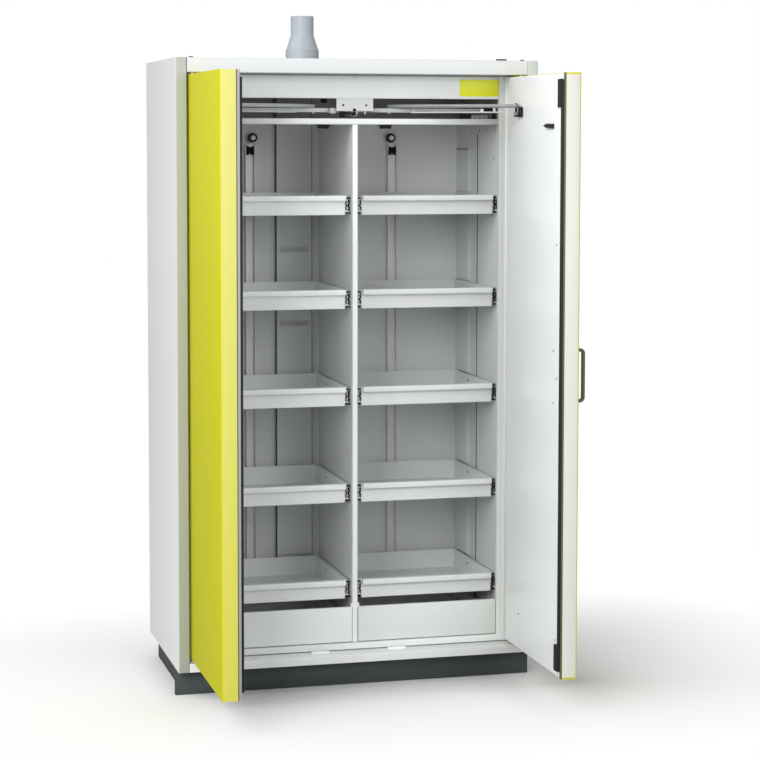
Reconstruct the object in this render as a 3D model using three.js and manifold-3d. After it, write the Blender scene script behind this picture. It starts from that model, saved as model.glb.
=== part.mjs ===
// Fireproof safety cabinet: an insulated steel body on a plinth, two hinged leaves,
// ten pull-out trays and two base drawers, with an exhaust socket on the roof.
// Lengths in millimetres, +Z up, +X to the right, the doors face -Y.
// The origin lies on the floor, under the middle of the body.
// The leaves stand fully open and the trays are pushed in.

import * as THREE from 'three';
import { mergeVertices } from 'three/addons/utils/BufferGeometryUtils.js';
import Module from 'manifold-3d';

const wasm = await Module();
wasm.setup();

// Driving dimensions of the body
const bodyWidth = 1197;
const bodyDepth = 612;
const bodyHeight = 1961;
const plinthHeight = 89;
const casingSheet = 1.5;
const liningSheet = 1.2;
const sideWall = 106.5;
const rearWall = 50;
const floorThickness = 50;
const roofThickness = 50;

// Clearances
const seatGap = 0.3;
const pivotGap = 0.4;
const cutOverrun = 5;

// Front of the body: stiles beside the doors, a fascia above and a rail below
const stileWidth = 35;
const nicheDepth = 62;
const fasciaHeight = 47;
const bottomRailHeight = 27;

// Front frame around the doorway: its jambs stand a little proud of the side linings
const jambReveal = 8;
const doorwayWidth = bodyWidth - 2 * (sideWall + jambReveal);
const doorwaySill = 51;
const doorwayLintel = 51;
const frameFlange = 20;

// Plinth boards
const plinthBoard = 18;
const plinthSetback = 70;
const plinthSideInset = 28;
const plinthRearInset = 6;

// Upright partition between the two columns of trays
const partitionThickness = 16;
const partitionSetback = 10;

// Door leaves, seen closed: the hinge rod stands inside the leaf near its outer face
const leafThickness = 50;
const leafSheet = 1.5;
const leafTopGap = 6;
const leafBottomGap = 13;
const leafMeetingGap = 3;
const rodInset = 12;
const rodToHingeEdge = 13;
const rodToStile = 19.5;
const rodRadius = 6;
const rodEngagement = 8;
const collarRadius = 11;
const freeEdgeFlange = 18;
const hingeEdgeRadius = 4;
const openAngle = Math.PI / 2;

// Strips and seals along the free edges of the leaves
const edgeStripWidth = 22;
const edgeStripThickness = 9.5;
const edgeStripSetback = 4;
const leftSealWidth = 14;
const leftSealThickness = 8;
const rightSealWidth = 12;
const rightSealThickness = 9;
const sealEndInset = 22;
const swellBlockWidth = 57;
const swellBlockHeight = 80;
const swellBlockThickness = 15.5;

// Bow handle on the right leaf
const handleHeight = 168;
const handleProjection = 32;
const handleBarThickness = 10;
const handleBarWidth = 14;
const handleToFreeEdge = 40;
const handleAboveLeafFoot = 940;
const handleCornerRadius = 16;

// Catch hooks on the inner faces of the leaves
const hookLength = 98;
const hookHeight = 13;
const hookThickness = 13.5;
const hookTipLength = 26;
const hookToFreeEdge = 102;
const hookDrop = 5;

// Closing arms with their brackets, and the rail they run along
const armBracketRadial = 108;
const armPinStandOff = 14;
const armBracketWidth = 24;
const armBracketHeight = 32;
const armBracketPlate = 3;
const armBracketEar = 4.5;
const armBracketDrop = 18;
const armPinRadius = 4;
const armBossRadius = 8;
const armBarWidth = 17;
const armBarHeight = 8;
const armBarLift = 15;
const armRollerRadius = 6.5;
const armClosedX = 13.4;
const guideRailSetback = 64;
const guideRailWidth = 20;
const guideRailHeight = 10;
const guideRailDrop = 115;
const guideRailSheet = 1.5;
const rollerGap = 0.8;

// Header panel, cross rail and the plate that hangs between them
const headerSetback = 14;
const headerHeight = 75.5;
const headerReturn = 16;
const crossRailDrop = 158;
const crossRailHeight = 17;
const crossRailDepth = 50;
const crossRailSetback = 12;
const hangerWidth = 122;
const hangerDrop = 39;
const hangerTuck = 12;
const hangerHoleRadius = 3.5;
const hangerHoleSpacing = 77;
const hangerHoleDrop = 20;

// Trays and their slides: the rims stand at rows of holes between the sill and the cross rail
const trayHeight = 64;
const trayRearGap = 41;
const traySheet = 1.5;
const trayLipHeight = 18;
const trayLipDepth = 20;
const trayFrontSetback = 35;
const holeRows = 133;
const trayRows = [16, 41, 66, 91, 115];
const slideSpan = 17;
const slideSetback = 3;
const slideRearInset = 7;
const slideHeight = 54;
const slideDepth = 9;
const slideSheet = 1.5;
const slideLift = 8;
const slideRunGap = 0.5;

// Base drawers
const drawerFrontHeight = 115;
const drawerFrontDepth = 14;
const drawerFrontSetback = 7.5;
const drawerSideGap = 2.5;
const drawerSillGap = 2;
const drawerPanHeight = 78;

// Exhaust: shallow duct on the rear wall, vent slots, socket and reducer on the roof
const ductWidth = 131;
const ductDepth = 10;
const ductMidX = -99.5;
const ventWidth = 98;
const ventHeight = 17;
const ventHeightShares = [0.68, 0.543, 0.269, 0.103];
const socketX = -94;
const socketToRearWall = 126;
const socketRadius = 45;
const socketWall = 3;
const collarOuterRadius = 56;
const collarTopRadius = 53;
const collarHeight = 43;
const collarChamfer = 5;
const coneHeight = 42;
const pipeRadius = 38.8;
const pipeHeight = 66.5;

// Rear channels with their guide pulleys
const channelOffset = 2;
const channelWidth = 32;
const channelDepth = 16;
const channelTopDrop = 64;
const pulleyOffset = -5;
const pulleyLift = 21;
const pulleyRadius = 16.5;
const pulleyWidth = 11;
const pulleyGroove = 3;
const pulleyToWall = 14;
const axleRadius = 4;
const axleHeadRadius = 8;
const axleHeadLength = 9;
const pulleyTabWidth = 18;

// Slots in the linings
const liningSlotWidth = 7;
const liningSlotEndInset = 26;
const rearSlotToDuct = 3;
const sideSlotToRearWall = 244;
const sideSlotTopDrop = 28;

// How finely round pieces are divided
const roundSides = 40;
const smallSides = 20;

// Planes that the pieces share
const outerX = bodyWidth / 2;
const frontY = -bodyDepth / 2;
const backY = bodyDepth / 2;
const underZ = plinthHeight;
const roofZ = plinthHeight + bodyHeight;
const stileX = outerX - stileWidth;
const frameY = frontY + nicheDepth;
const nicheBackY = frameY - seatGap;
const fasciaZ = roofZ - fasciaHeight;
const railTopZ = underZ + bottomRailHeight;
const jambX = doorwayWidth / 2;
const doorwayBottomZ = underZ + doorwaySill;
const doorwayTopZ = roofZ - doorwayLintel;
const wallX = outerX - sideWall;
const rearY = backY - rearWall;
const innerFloorZ = underZ + floorThickness;
const ceilingZ = roofZ - roofThickness;
const insideCasingX = outerX - casingSheet - seatGap;
const insideStileX = stileX + casingSheet + seatGap;
const insideFrontY = frontY + casingSheet + seatGap;
const insideBackY = backY - casingSheet - seatGap;
const aboveBaseZ = underZ + casingSheet + seatGap;
const belowRoofZ = roofZ - casingSheet - seatGap;
const behindFrameY = frameY + casingSheet + seatGap;
const behindFlangeY = frameY + frameFlange + seatGap;
const insulationX = wallX + liningSheet + seatGap;
const pivotX = stileX - rodToStile;
const pivotY = frontY + rodInset;
const leafBottomZ = railTopZ + leafBottomGap;
const leafTopZ = fasciaZ - leafTopGap;
const freeEdgeU = leafMeetingGap / 2 - pivotX;
const leafOuterV = -rodInset;
const leafInnerV = leafThickness - rodInset;
const partitionX = partitionThickness / 2;
const columnX = (partitionX + wallX) / 2;
const crossRailZ = doorwayTopZ - crossRailDrop;
const guideRailZ = doorwayTopZ - guideRailDrop;
const guideRailMidY = frameY + guideRailSetback;
const armBracketZ = guideRailZ - armBracketDrop;
const armBarZ = guideRailZ + armBarLift;
const trayWidth = wallX - partitionX - 2 * slideSpan;
const trayFaceY = frameY + trayFrontSetback;
const trayBackY = rearY - trayRearGap;
const slideFrontY = trayFaceY + slideSetback;
const slideBackY = trayBackY - slideRearInset;
const holePitch = (crossRailZ - doorwayBottomZ) / holeRows;
const trayRimZs = trayRows.map((row) => doorwayBottomZ + row * holePitch);
const drawerBottomZ = doorwayBottomZ + drawerSillGap;
const drawerPanZ = drawerBottomZ + seatGap;
const headerZ = doorwayTopZ - headerHeight;
const headerY = frameY + headerSetback;
const socketY = rearY - socketToRearWall;
const channelMidX = columnX + channelOffset;
const channelTopZ = crossRailZ - channelTopDrop;
const pulleyX = columnX + pulleyOffset;
const pulleyZ = channelTopZ + pulleyLift;
const sides = { left: -1, right: 1 };

// Colour, roughness and metalness of each finish
const finishes = {
  paleLacquer: [0xe3e6e2, 0.42, 0.0],
  yellowLacquer: [0xd6d23a, 0.4, 0.0],
  whiteLacquer: [0xf1f3f5, 0.38, 0.0],
  interiorLacquer: [0xcfd2cf, 0.5, 0.0],
  plinthGrey: [0x3f4546, 0.55, 0.0],
  insulation: [0xd8d2c4, 0.95, 0.0],
  blackSeal: [0x1d1e20, 0.7, 0.0],
  blackPlastic: [0x202224, 0.5, 0.0],
  greyStrip: [0xb9b7b4, 0.5, 0.0],
  zinc: [0xb4b7b8, 0.38, 0.8],
  handleGrey: [0x6c6762, 0.45, 0.3],
  socketPlastic: [0xc9d0d6, 0.5, 0.0],
};

// A closed geometry as a solid that can be joined and cut
function solidOf(geometry) {
  const bare = geometry.index ? geometry.clone() : geometry;
  bare.deleteAttribute('normal');
  bare.deleteAttribute('uv');
  const welded = mergeVertices(bare);
  return new wasm.Manifold(new wasm.Mesh({
    numProp: 3,
    vertProperties: welded.attributes.position.array,
    triVerts: new Uint32Array(welded.index.array),
  }));
}

// Outlines are drawn in two of the axes and carried along the third
const outlineFrames = {
  x: new THREE.Matrix4().set(0, 0, 1, 0, 1, 0, 0, 0, 0, 1, 0, 0, 0, 0, 0, 1),
  y: new THREE.Matrix4().set(1, 0, 0, 0, 0, 0, -1, 0, 0, 1, 0, 0, 0, 0, 0, 1),
  z: new THREE.Matrix4(),
};

function shapeOf(points) {
  return new THREE.Shape(points.map(([a, b]) => new THREE.Vector2(a, b)));
}

// Carries an outline along one axis between two places on it. Along x the outline is given
// in y and z, along y in x and z, and along z in x and y.
function profile(axis, outline, from, to) {
  const shape = outline instanceof THREE.Shape ? outline : shapeOf(outline);
  const length = to - from;
  const geometry = new THREE.ExtrudeGeometry(shape, {
    depth: length,
    bevelEnabled: false,
    curveSegments: smallSides / 4,
  });
  geometry.applyMatrix4(outlineFrames[axis]);
  const offset = { x: [from, 0, 0], y: [0, to, 0], z: [0, 0, from] }[axis];
  geometry.translate(...offset);
  return solidOf(geometry);
}

// A rectangular block between two values on each axis
function block([x0, x1], [y0, y1], [z0, z1]) {
  const geometry = new THREE.BoxGeometry(Math.abs(x1 - x0), y1 - y0, z1 - z0);
  geometry.translate((x0 + x1) / 2, (y0 + y1) / 2, (z0 + z1) / 2);
  return solidOf(geometry);
}

// An upright round bar
function post(radius, x, y, z0, z1, count = smallSides) {
  const geometry = new THREE.CylinderGeometry(radius, radius, z1 - z0, count);
  geometry.rotateX(Math.PI / 2);
  geometry.translate(x, y, (z0 + z1) / 2);
  return solidOf(geometry);
}

// A ring or disc turned about the upright axis from its half section of radius and height
function turned(halfSection, count) {
  const closed = [...halfSection, halfSection[0]];
  const geometry = new THREE.LatheGeometry(closed.map(([r, z]) => new THREE.Vector2(r, z)), count);
  geometry.rotateX(Math.PI / 2);
  return solidOf(geometry);
}

function join(first, ...others) {
  return others.reduce((sum, solid) => sum.add(solid), first);
}

function cut(first, ...others) {
  return others.reduce((rest, solid) => rest.subtract(solid), first);
}

function mirrored(solid, side) {
  return side < 0 ? solid.mirror([1, 0, 0]) : solid;
}

// A named piece with its finish
function piece(name, solid, finish) {
  const { vertProperties, triVerts } = solid.getMesh();
  const geometry = new THREE.BufferGeometry();
  geometry.setAttribute('position', new THREE.BufferAttribute(new Float32Array(vertProperties), 3));
  geometry.setIndex(new THREE.BufferAttribute(new Uint32Array(triVerts), 1));
  geometry.computeVertexNormals();
  const [color, roughness, metalness] = finishes[finish];
  const mesh = new THREE.Mesh(geometry, new THREE.MeshStandardMaterial({ color, roughness, metalness }));
  mesh.name = name;
  return mesh;
}

// Plan outline of the roof and base sheets: as wide as the body, with two noses into the stiles
function nosedPlan() {
  return [
    [-insideCasingX, insideFrontY],
    [-insideStileX, insideFrontY],
    [-insideStileX, frameY],
    [insideStileX, frameY],
    [insideStileX, insideFrontY],
    [insideCasingX, insideFrontY],
    [insideCasingX, insideBackY],
    [-insideCasingX, insideBackY],
  ];
}

// Outer shells

function sideCasing(side) {
  const inner = outerX - casingSheet;
  const returnX = stileX + casingSheet;
  const outline = [
    [outerX, frontY],
    [outerX, backY],
    [inner, backY],
    [inner, frontY + casingSheet],
    [returnX, frontY + casingSheet],
    [returnX, nicheBackY],
    [stileX, nicheBackY],
    [stileX, frontY],
  ];
  return mirrored(profile('z', outline, underZ, roofZ), side);
}

function rearCasing() {
  return block([-insideCasingX, insideCasingX], [backY - casingSheet, backY], [underZ, roofZ]);
}

function roofCasing() {
  const sheet = profile('z', nosedPlan(), roofZ - casingSheet, roofZ);
  return cut(sheet, socketHole(roofZ - casingSheet, roofZ));
}

function basePlate() {
  return profile('z', nosedPlan(), underZ, underZ + casingSheet);
}

function pivotHoles(z0, z1) {
  return Object.values(sides).map((side) => post(
    rodRadius + pivotGap, side * pivotX, pivotY, z0 - cutOverrun, z1 + cutOverrun,
  ));
}

// Channel open to the rear, between the stiles
function topFascia() {
  const outline = [
    [frontY, fasciaZ],
    [nicheBackY, fasciaZ],
    [nicheBackY, fasciaZ + casingSheet],
    [frontY + casingSheet, fasciaZ + casingSheet],
    [frontY + casingSheet, roofZ - casingSheet],
    [nicheBackY, roofZ - casingSheet],
    [nicheBackY, roofZ],
    [frontY, roofZ],
  ];
  const channel = profile('x', outline, seatGap - stileX, stileX - seatGap);
  return cut(channel, ...pivotHoles(fasciaZ, fasciaZ + casingSheet));
}

// Channel open downwards, between the stiles
function bottomRail() {
  const outline = [
    [frontY, underZ],
    [frontY, railTopZ],
    [nicheBackY, railTopZ],
    [nicheBackY, underZ],
    [nicheBackY - casingSheet, underZ],
    [nicheBackY - casingSheet, railTopZ - casingSheet],
    [frontY + casingSheet, railTopZ - casingSheet],
    [frontY + casingSheet, underZ],
  ];
  const channel = profile('x', outline, seatGap - stileX, stileX - seatGap);
  return cut(channel, ...pivotHoles(railTopZ - casingSheet, railTopZ));
}

// Board frame with a middle board: the front board is as wide as the body, the others stand further in
function plinth() {
  const sideBoardX = outerX - plinthSideInset;
  const boardY = frontY + plinthSetback;
  const rearBoardY = backY - plinthRearInset;
  const top = plinthHeight - seatGap;
  const front = block([-outerX, outerX], [boardY, boardY + plinthBoard], [0, top]);
  const ring = block([-sideBoardX, sideBoardX], [boardY, rearBoardY], [0, top]);
  const hollow = block(
    [plinthBoard - sideBoardX, sideBoardX - plinthBoard],
    [boardY + plinthBoard, rearBoardY - plinthBoard],
    [-cutOverrun, top + cutOverrun],
  );
  const middle = block(
    [-plinthBoard / 2, plinthBoard / 2],
    [boardY + plinthBoard / 2, rearBoardY - plinthBoard / 2],
    [0, top],
  );
  return join(front, cut(ring, hollow), middle);
}

// Insulation boards between the casing and the lining

function sideInsulation(side) {
  const outline = [
    [insulationX, behindFrameY],
    [insideStileX, behindFrameY],
    [insideStileX, insideFrontY],
    [insideCasingX, insideFrontY],
    [insideCasingX, insideBackY],
    [insulationX, insideBackY],
  ];
  return mirrored(profile('z', outline, aboveBaseZ, belowRoofZ), side);
}

function rearInsulation() {
  const half = insulationX - seatGap;
  return block([-half, half], [rearY + liningSheet + seatGap, insideBackY], [aboveBaseZ, belowRoofZ]);
}

function flatInsulation(z0, z1) {
  const half = insulationX - seatGap;
  return block([-half, half], [behindFrameY, rearY + liningSheet], [z0, z1]);
}

function roofInsulation() {
  const z0 = ceilingZ + liningSheet + seatGap;
  return cut(flatInsulation(z0, belowRoofZ), socketHole(z0, belowRoofZ));
}

function floorInsulation() {
  return flatInsulation(aboveBaseZ, innerFloorZ - liningSheet - seatGap);
}

// Slides. The fixed rail is a channel on a wall, open towards the tray.

// The rail stands on a wall face at x = 0 and reaches towards +X
function fixedRail(baseZ) {
  const root = -liningSheet / 2;
  const top = baseZ + slideHeight;
  const outline = [
    [root, baseZ],
    [slideDepth, baseZ],
    [slideDepth, baseZ + slideSheet],
    [slideSheet, baseZ + slideSheet],
    [slideSheet, top - slideSheet],
    [slideDepth, top - slideSheet],
    [slideDepth, top],
    [root, top],
  ];
  return profile('y', outline, slideFrontY, slideBackY);
}

function railBaseZs() {
  const trays = trayRimZs.map((rim) => rim - trayHeight + slideLift);
  return [drawerPanZ + slideLift, ...trays];
}

// Rails for one wall face: at x, reaching towards the given side
function fixedRails(x, side) {
  return railBaseZs().map((z) => mirrored(fixedRail(z), side).translate([x, 0, 0]));
}

// The moving member is a channel on the tray's side wall at x = 0, its edges facing the fixed rail's
function movingMember(baseZ) {
  const root = -traySheet / 2;
  const top = baseZ + slideHeight;
  const reach = slideSpan - slideDepth - slideRunGap;
  const outline = [
    [root, baseZ],
    [reach, baseZ],
    [reach, baseZ + slideSheet],
    [slideSheet, baseZ + slideSheet],
    [slideSheet, top - slideSheet],
    [reach, top - slideSheet],
    [reach, top],
    [root, top],
  ];
  return profile('y', outline, slideFrontY, slideBackY);
}

// Inner linings

function sideLining(side) {
  const slotY = rearY - sideSlotToRearWall;
  const sheet = block(
    [wallX, wallX + liningSheet],
    [behindFrameY, rearY - seatGap],
    [innerFloorZ - liningSheet, ceilingZ + liningSheet],
  );
  const slot = block(
    [wallX - cutOverrun, wallX + liningSheet + cutOverrun],
    [slotY - liningSlotWidth / 2, slotY + liningSlotWidth / 2],
    [innerFloorZ + liningSlotEndInset, crossRailZ - sideSlotTopDrop],
  );
  return mirrored(join(cut(sheet, slot), ...fixedRails(wallX, -1)), side);
}

function rearLining() {
  const half = wallX + liningSheet;
  const slotX = ductMidX - ductWidth / 2 - rearSlotToDuct;
  const sheet = block(
    [-half, half],
    [rearY, rearY + liningSheet],
    [innerFloorZ - liningSheet, ceilingZ + liningSheet],
  );
  const slot = block(
    [slotX - liningSlotWidth, slotX],
    [rearY - cutOverrun, rearY + liningSheet + cutOverrun],
    [innerFloorZ + liningSlotEndInset, ceilingZ - liningSlotEndInset],
  );
  return cut(sheet, slot);
}

function flatLining(z0) {
  const half = wallX - seatGap;
  return block([-half, half], [behindFlangeY, rearY - seatGap], [z0, z0 + liningSheet]);
}

function roofLining() {
  return cut(flatLining(ceilingZ), socketHole(ceilingZ, ceilingZ + liningSheet));
}

function floorLining() {
  return flatLining(innerFloorZ - liningSheet);
}

// Flat frame behind the doors, with a flange around the doorway
function frontFrame() {
  const plate = block(
    [-stileX - casingSheet, stileX + casingSheet],
    [frameY, frameY + casingSheet],
    [aboveBaseZ, belowRoofZ],
  );
  const collar = block(
    [-jambX - casingSheet, jambX + casingSheet],
    [frameY, frameY + frameFlange],
    [doorwayBottomZ - casingSheet, doorwayTopZ + casingSheet],
  );
  const doorway = block(
    [-jambX, jambX],
    [frameY - cutOverrun, frameY + frameFlange + cutOverrun],
    [doorwayBottomZ, doorwayTopZ],
  );
  return cut(join(plate, collar), doorway);
}

// Folded panel, closed at its front edge and open at the rear, with rails on both faces
function centrePartition() {
  const y0 = frameY + partitionSetback;
  const y1 = rearY - seatGap;
  const inner = partitionX - liningSheet;
  const outline = [
    [-partitionX, y0],
    [partitionX, y0],
    [partitionX, y1],
    [inner, y1],
    [inner, y0 + liningSheet],
    [-inner, y0 + liningSheet],
    [-inner, y1],
    [-partitionX, y1],
  ];
  const panel = profile('z', outline, doorwayBottomZ + seatGap, crossRailZ - seatGap);
  return join(panel, ...fixedRails(partitionX, 1), ...fixedRails(-partitionX, -1));
}

// Header panel with a return along its top
function headerPanel() {
  const top = doorwayTopZ - seatGap;
  const outline = [
    [headerY, headerZ],
    [headerY, top],
    [headerY + headerReturn, top],
    [headerY + headerReturn, top - casingSheet],
    [headerY + casingSheet, top - casingSheet],
    [headerY + casingSheet, headerZ],
  ];
  return profile('x', outline, seatGap - jambX, jambX - seatGap);
}

// Channel open upwards, over the top of the partition
function crossRail() {
  const y0 = frameY + crossRailSetback;
  const y1 = y0 + crossRailDepth;
  const top = crossRailZ + crossRailHeight;
  const outline = [
    [y0, crossRailZ],
    [y1, crossRailZ],
    [y1, top],
    [y1 - casingSheet, top],
    [y1 - casingSheet, crossRailZ + casingSheet],
    [y0 + casingSheet, crossRailZ + casingSheet],
    [y0 + casingSheet, top],
    [y0, top],
  ];
  return profile('x', outline, seatGap - jambX, jambX - seatGap);
}

// Track of the closing arms, open upwards
function guideRail() {
  const y0 = guideRailMidY - guideRailWidth / 2;
  const y1 = guideRailMidY + guideRailWidth / 2;
  const top = guideRailZ + guideRailHeight;
  const outline = [
    [y0, guideRailZ],
    [y1, guideRailZ],
    [y1, top],
    [y1 - guideRailSheet, top],
    [y1 - guideRailSheet, guideRailZ + guideRailSheet],
    [y0 + guideRailSheet, guideRailZ + guideRailSheet],
    [y0 + guideRailSheet, top],
    [y0, top],
  ];
  return profile('x', outline, seatGap - wallX, wallX - seatGap);
}

// Plate that hangs behind the header's lower edge
function closerBracket() {
  const y0 = headerY + casingSheet + seatGap;
  const half = hangerWidth / 2;
  const plate = block([-half, half], [y0, y0 + casingSheet], [headerZ - hangerDrop, headerZ + hangerTuck]);
  const holes = [-1, 1].map((side) => {
    const geometry = new THREE.CylinderGeometry(
      hangerHoleRadius, hangerHoleRadius, casingSheet + 2 * cutOverrun, smallSides,
    );
    geometry.translate(side * hangerHoleSpacing / 2, y0 + casingSheet / 2, headerZ - hangerHoleDrop);
    return solidOf(geometry);
  });
  return cut(plate, ...holes);
}

// Exhaust

function socketHole(z0, z1) {
  return post(socketRadius + seatGap, socketX, socketY, z0 - cutOverrun, z1 + cutOverrun, roundSides);
}

// Socket through the roof, a collar on it and a cone down to the pipe, bored right through
function ductReducer() {
  const seatZ = roofZ + seatGap;
  const collarTopZ = seatZ + collarHeight;
  const coneZ = collarTopZ + collarChamfer;
  const pipeZ = coneZ + coneHeight;
  const topZ = pipeZ + pipeHeight;
  const inner = socketRadius - socketWall;
  const bore = pipeRadius - socketWall;
  const section = [
    [inner, ceilingZ],
    [socketRadius, ceilingZ],
    [socketRadius, seatZ],
    [collarOuterRadius, seatZ],
    [collarOuterRadius, collarTopZ],
    [collarTopRadius, coneZ],
    [pipeRadius, pipeZ],
    [pipeRadius, topZ],
    [bore, topZ],
    [bore, pipeZ],
    [inner, coneZ],
  ];
  return turned(section, roundSides).translate([socketX, socketY, 0]);
}

// Shallow channel against the rear wall, with its vent slots
function exhaustDuct() {
  const x0 = ductMidX - ductWidth / 2;
  const x1 = ductMidX + ductWidth / 2;
  const y1 = rearY - seatGap;
  const y0 = y1 - ductDepth;
  const outline = [
    [x0, y0],
    [x1, y0],
    [x1, y1],
    [x1 - liningSheet, y1],
    [x1 - liningSheet, y0 + liningSheet],
    [x0 + liningSheet, y0 + liningSheet],
    [x0 + liningSheet, y1],
    [x0, y1],
  ];
  const channel = profile('z', outline, innerFloorZ + seatGap, ceilingZ - seatGap);
  const vents = ventHeightShares.map((share) => {
    const z = innerFloorZ + share * (ceilingZ - innerFloorZ);
    return block(
      [ductMidX - ventWidth / 2, ductMidX + ventWidth / 2],
      [y0 - cutOverrun, y0 + liningSheet + seatGap],
      [z, z + ventHeight],
    );
  });
  return cut(channel, ...vents);
}

// Rear channels and their pulleys

const channelBackY = rearY - seatGap;
const pulleyBackY = rearY - pulleyToWall;

function roundAlongY(radius, x, z, y0, y1) {
  const geometry = new THREE.CylinderGeometry(radius, radius, y1 - y0, smallSides);
  geometry.translate(x, (y0 + y1) / 2, z);
  return solidOf(geometry);
}

// Channel open to the front, with a tab and the axle of its pulley above it
function rearChannel(side) {
  const x0 = channelMidX - channelWidth / 2;
  const x1 = channelMidX + channelWidth / 2;
  const y0 = channelBackY - channelDepth;
  const webY = channelBackY - casingSheet;
  const outline = [
    [x0, y0],
    [x0 + casingSheet, y0],
    [x0 + casingSheet, webY],
    [x1 - casingSheet, webY],
    [x1 - casingSheet, y0],
    [x1, y0],
    [x1, channelBackY],
    [x0, channelBackY],
  ];
  const frontOfPulleyY = pulleyBackY - pulleyWidth - 2 * pivotGap;
  return mirrored(join(
    profile('z', outline, innerFloorZ + seatGap, channelTopZ),
    block(
      [pulleyX - pulleyTabWidth / 2, pulleyX + pulleyTabWidth / 2],
      [webY, channelBackY],
      [channelTopZ - pulleyTabWidth, pulleyZ + pulleyTabWidth / 2],
    ),
    roundAlongY(axleHeadRadius, pulleyX, pulleyZ, pulleyBackY, channelBackY - casingSheet / 2),
    roundAlongY(axleRadius, pulleyX, pulleyZ, frontOfPulleyY - casingSheet, pulleyBackY + casingSheet),
    roundAlongY(axleHeadRadius, pulleyX, pulleyZ, frontOfPulleyY - axleHeadLength, frontOfPulleyY),
  ), side);
}

// Grooved disc, turned about its own axle
function pulleyDisc() {
  const bore = axleRadius + pivotGap;
  const rim = pulleyRadius - pulleyGroove;
  const half = pulleyWidth / 2;
  const section = [
    [bore, -half],
    [pulleyRadius, -half],
    [rim, -half / 2],
    [rim, half / 2],
    [pulleyRadius, half],
    [bore, half],
  ];
  return turned(section, smallSides);
}

// Trays and drawers, each in its own frame: x = 0 in the middle of its column

// A flat pan: bottom and four walls, with the moving members on its sides
function pan(width, frontFaceY, z0, height, memberZ) {
  const half = width / 2;
  const outer = block([-half, half], [frontFaceY, trayBackY], [z0, z0 + height]);
  const inner = block(
    [traySheet - half, half - traySheet],
    [frontFaceY + traySheet, trayBackY - traySheet],
    [z0 + traySheet, z0 + height + cutOverrun],
  );
  const members = [-1, 1].map((side) => mirrored(
    movingMember(memberZ).translate([half, 0, 0]), side,
  ));
  return join(cut(outer, inner), ...members);
}

// Tray at its own height, with a grip lip folded forwards along the front rim
function tray() {
  const half = trayWidth / 2;
  const lipZ = trayHeight - trayLipHeight;
  const lipY = trayFaceY - trayLipDepth;
  const behind = trayFaceY + traySheet / 2;
  const lip = [
    [behind, lipZ],
    [lipY, lipZ],
    [lipY, trayHeight],
    [behind, trayHeight],
    [behind, trayHeight - traySheet],
    [lipY + traySheet, trayHeight - traySheet],
    [lipY + traySheet, lipZ + traySheet],
    [behind, lipZ + traySheet],
  ];
  return join(
    pan(trayWidth, trayFaceY, 0, trayHeight, slideLift),
    profile('x', lip, -half, half),
  );
}

// Drawer of one column: a folded front as wide as the doorway allows, and a pan behind it
function baseDrawer(side) {
  const x0 = partitionX + drawerSideGap - columnX;
  const x1 = jambX - drawerSideGap - columnX;
  const y0 = frameY + drawerFrontSetback;
  const y1 = y0 + drawerFrontDepth;
  const z0 = drawerBottomZ;
  const z1 = z0 + drawerFrontHeight;
  const shell = cut(
    block([x0, x1], [y0, y1], [z0, z1]),
    block(
      [x0 + traySheet, x1 - traySheet],
      [y0 + traySheet, y1 + cutOverrun],
      [z0 + traySheet, z1 - traySheet],
    ),
  );
  const panBack = pan(trayWidth, y0 + traySheet / 2, drawerPanZ, drawerPanHeight, drawerPanZ + slideLift);
  return mirrored(join(shell, panBack), side);
}

// Doors. Each leaf is drawn closed, in a frame on its hinge axis: u runs from the rod towards
// the stile, v runs inwards, and the leaf reaches towards -u.

const hingeEdgeU = rodToHingeEdge;
const leafRange = [leafBottomZ, leafTopZ];
const insetRange = [leafBottomZ + leafSheet + seatGap, leafTopZ - leafSheet - seatGap];

// Plan outline of the leaf, with its outer hinge corner rounded to swing past the stile
function leafPlan() {
  const shape = new THREE.Shape();
  const r = hingeEdgeRadius;
  shape.moveTo(freeEdgeU, leafOuterV);
  shape.lineTo(hingeEdgeU - r, leafOuterV);
  shape.absarc(hingeEdgeU - r, leafOuterV + r, r, -Math.PI / 2, 0, false);
  shape.lineTo(hingeEdgeU, leafInnerV);
  shape.lineTo(freeEdgeU, leafInnerV);
  shape.closePath();
  return shape;
}

function rodHole(gap, z0, z1) {
  return post(rodRadius + gap, 0, 0, z0 - cutOverrun, z1 + cutOverrun);
}

// Folded skin: outer face, four edges and a flange along the free edge
function leafSkin() {
  const hollowRange = [leafBottomZ + leafSheet, leafTopZ - leafSheet];
  const hollow = block(
    [freeEdgeU + leafSheet, hingeEdgeU - leafSheet],
    [leafOuterV + leafSheet, leafInnerV - leafSheet],
    hollowRange,
  );
  const mouth = block(
    [freeEdgeU + freeEdgeFlange, hingeEdgeU - leafSheet],
    [leafInnerV - 2 * leafSheet, leafInnerV + cutOverrun],
    hollowRange,
  );
  return cut(profile('z', leafPlan(), ...leafRange), hollow, mouth, rodHole(seatGap, ...leafRange));
}

// Insulation board inside the skin
function leafCore() {
  const reveal = leafSheet + seatGap;
  const board = block(
    [freeEdgeU + reveal, hingeEdgeU - hingeEdgeRadius],
    [leafOuterV + reveal, leafInnerV - reveal],
    insetRange,
  );
  return cut(board, rodHole(seatGap, ...insetRange));
}

// Flat sheet that closes the leaf on its inner face
function leafLining() {
  return block(
    [freeEdgeU + freeEdgeFlange + seatGap, hingeEdgeU - leafSheet - seatGap],
    [leafInnerV - leafSheet, leafInnerV],
    insetRange,
  );
}

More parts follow.
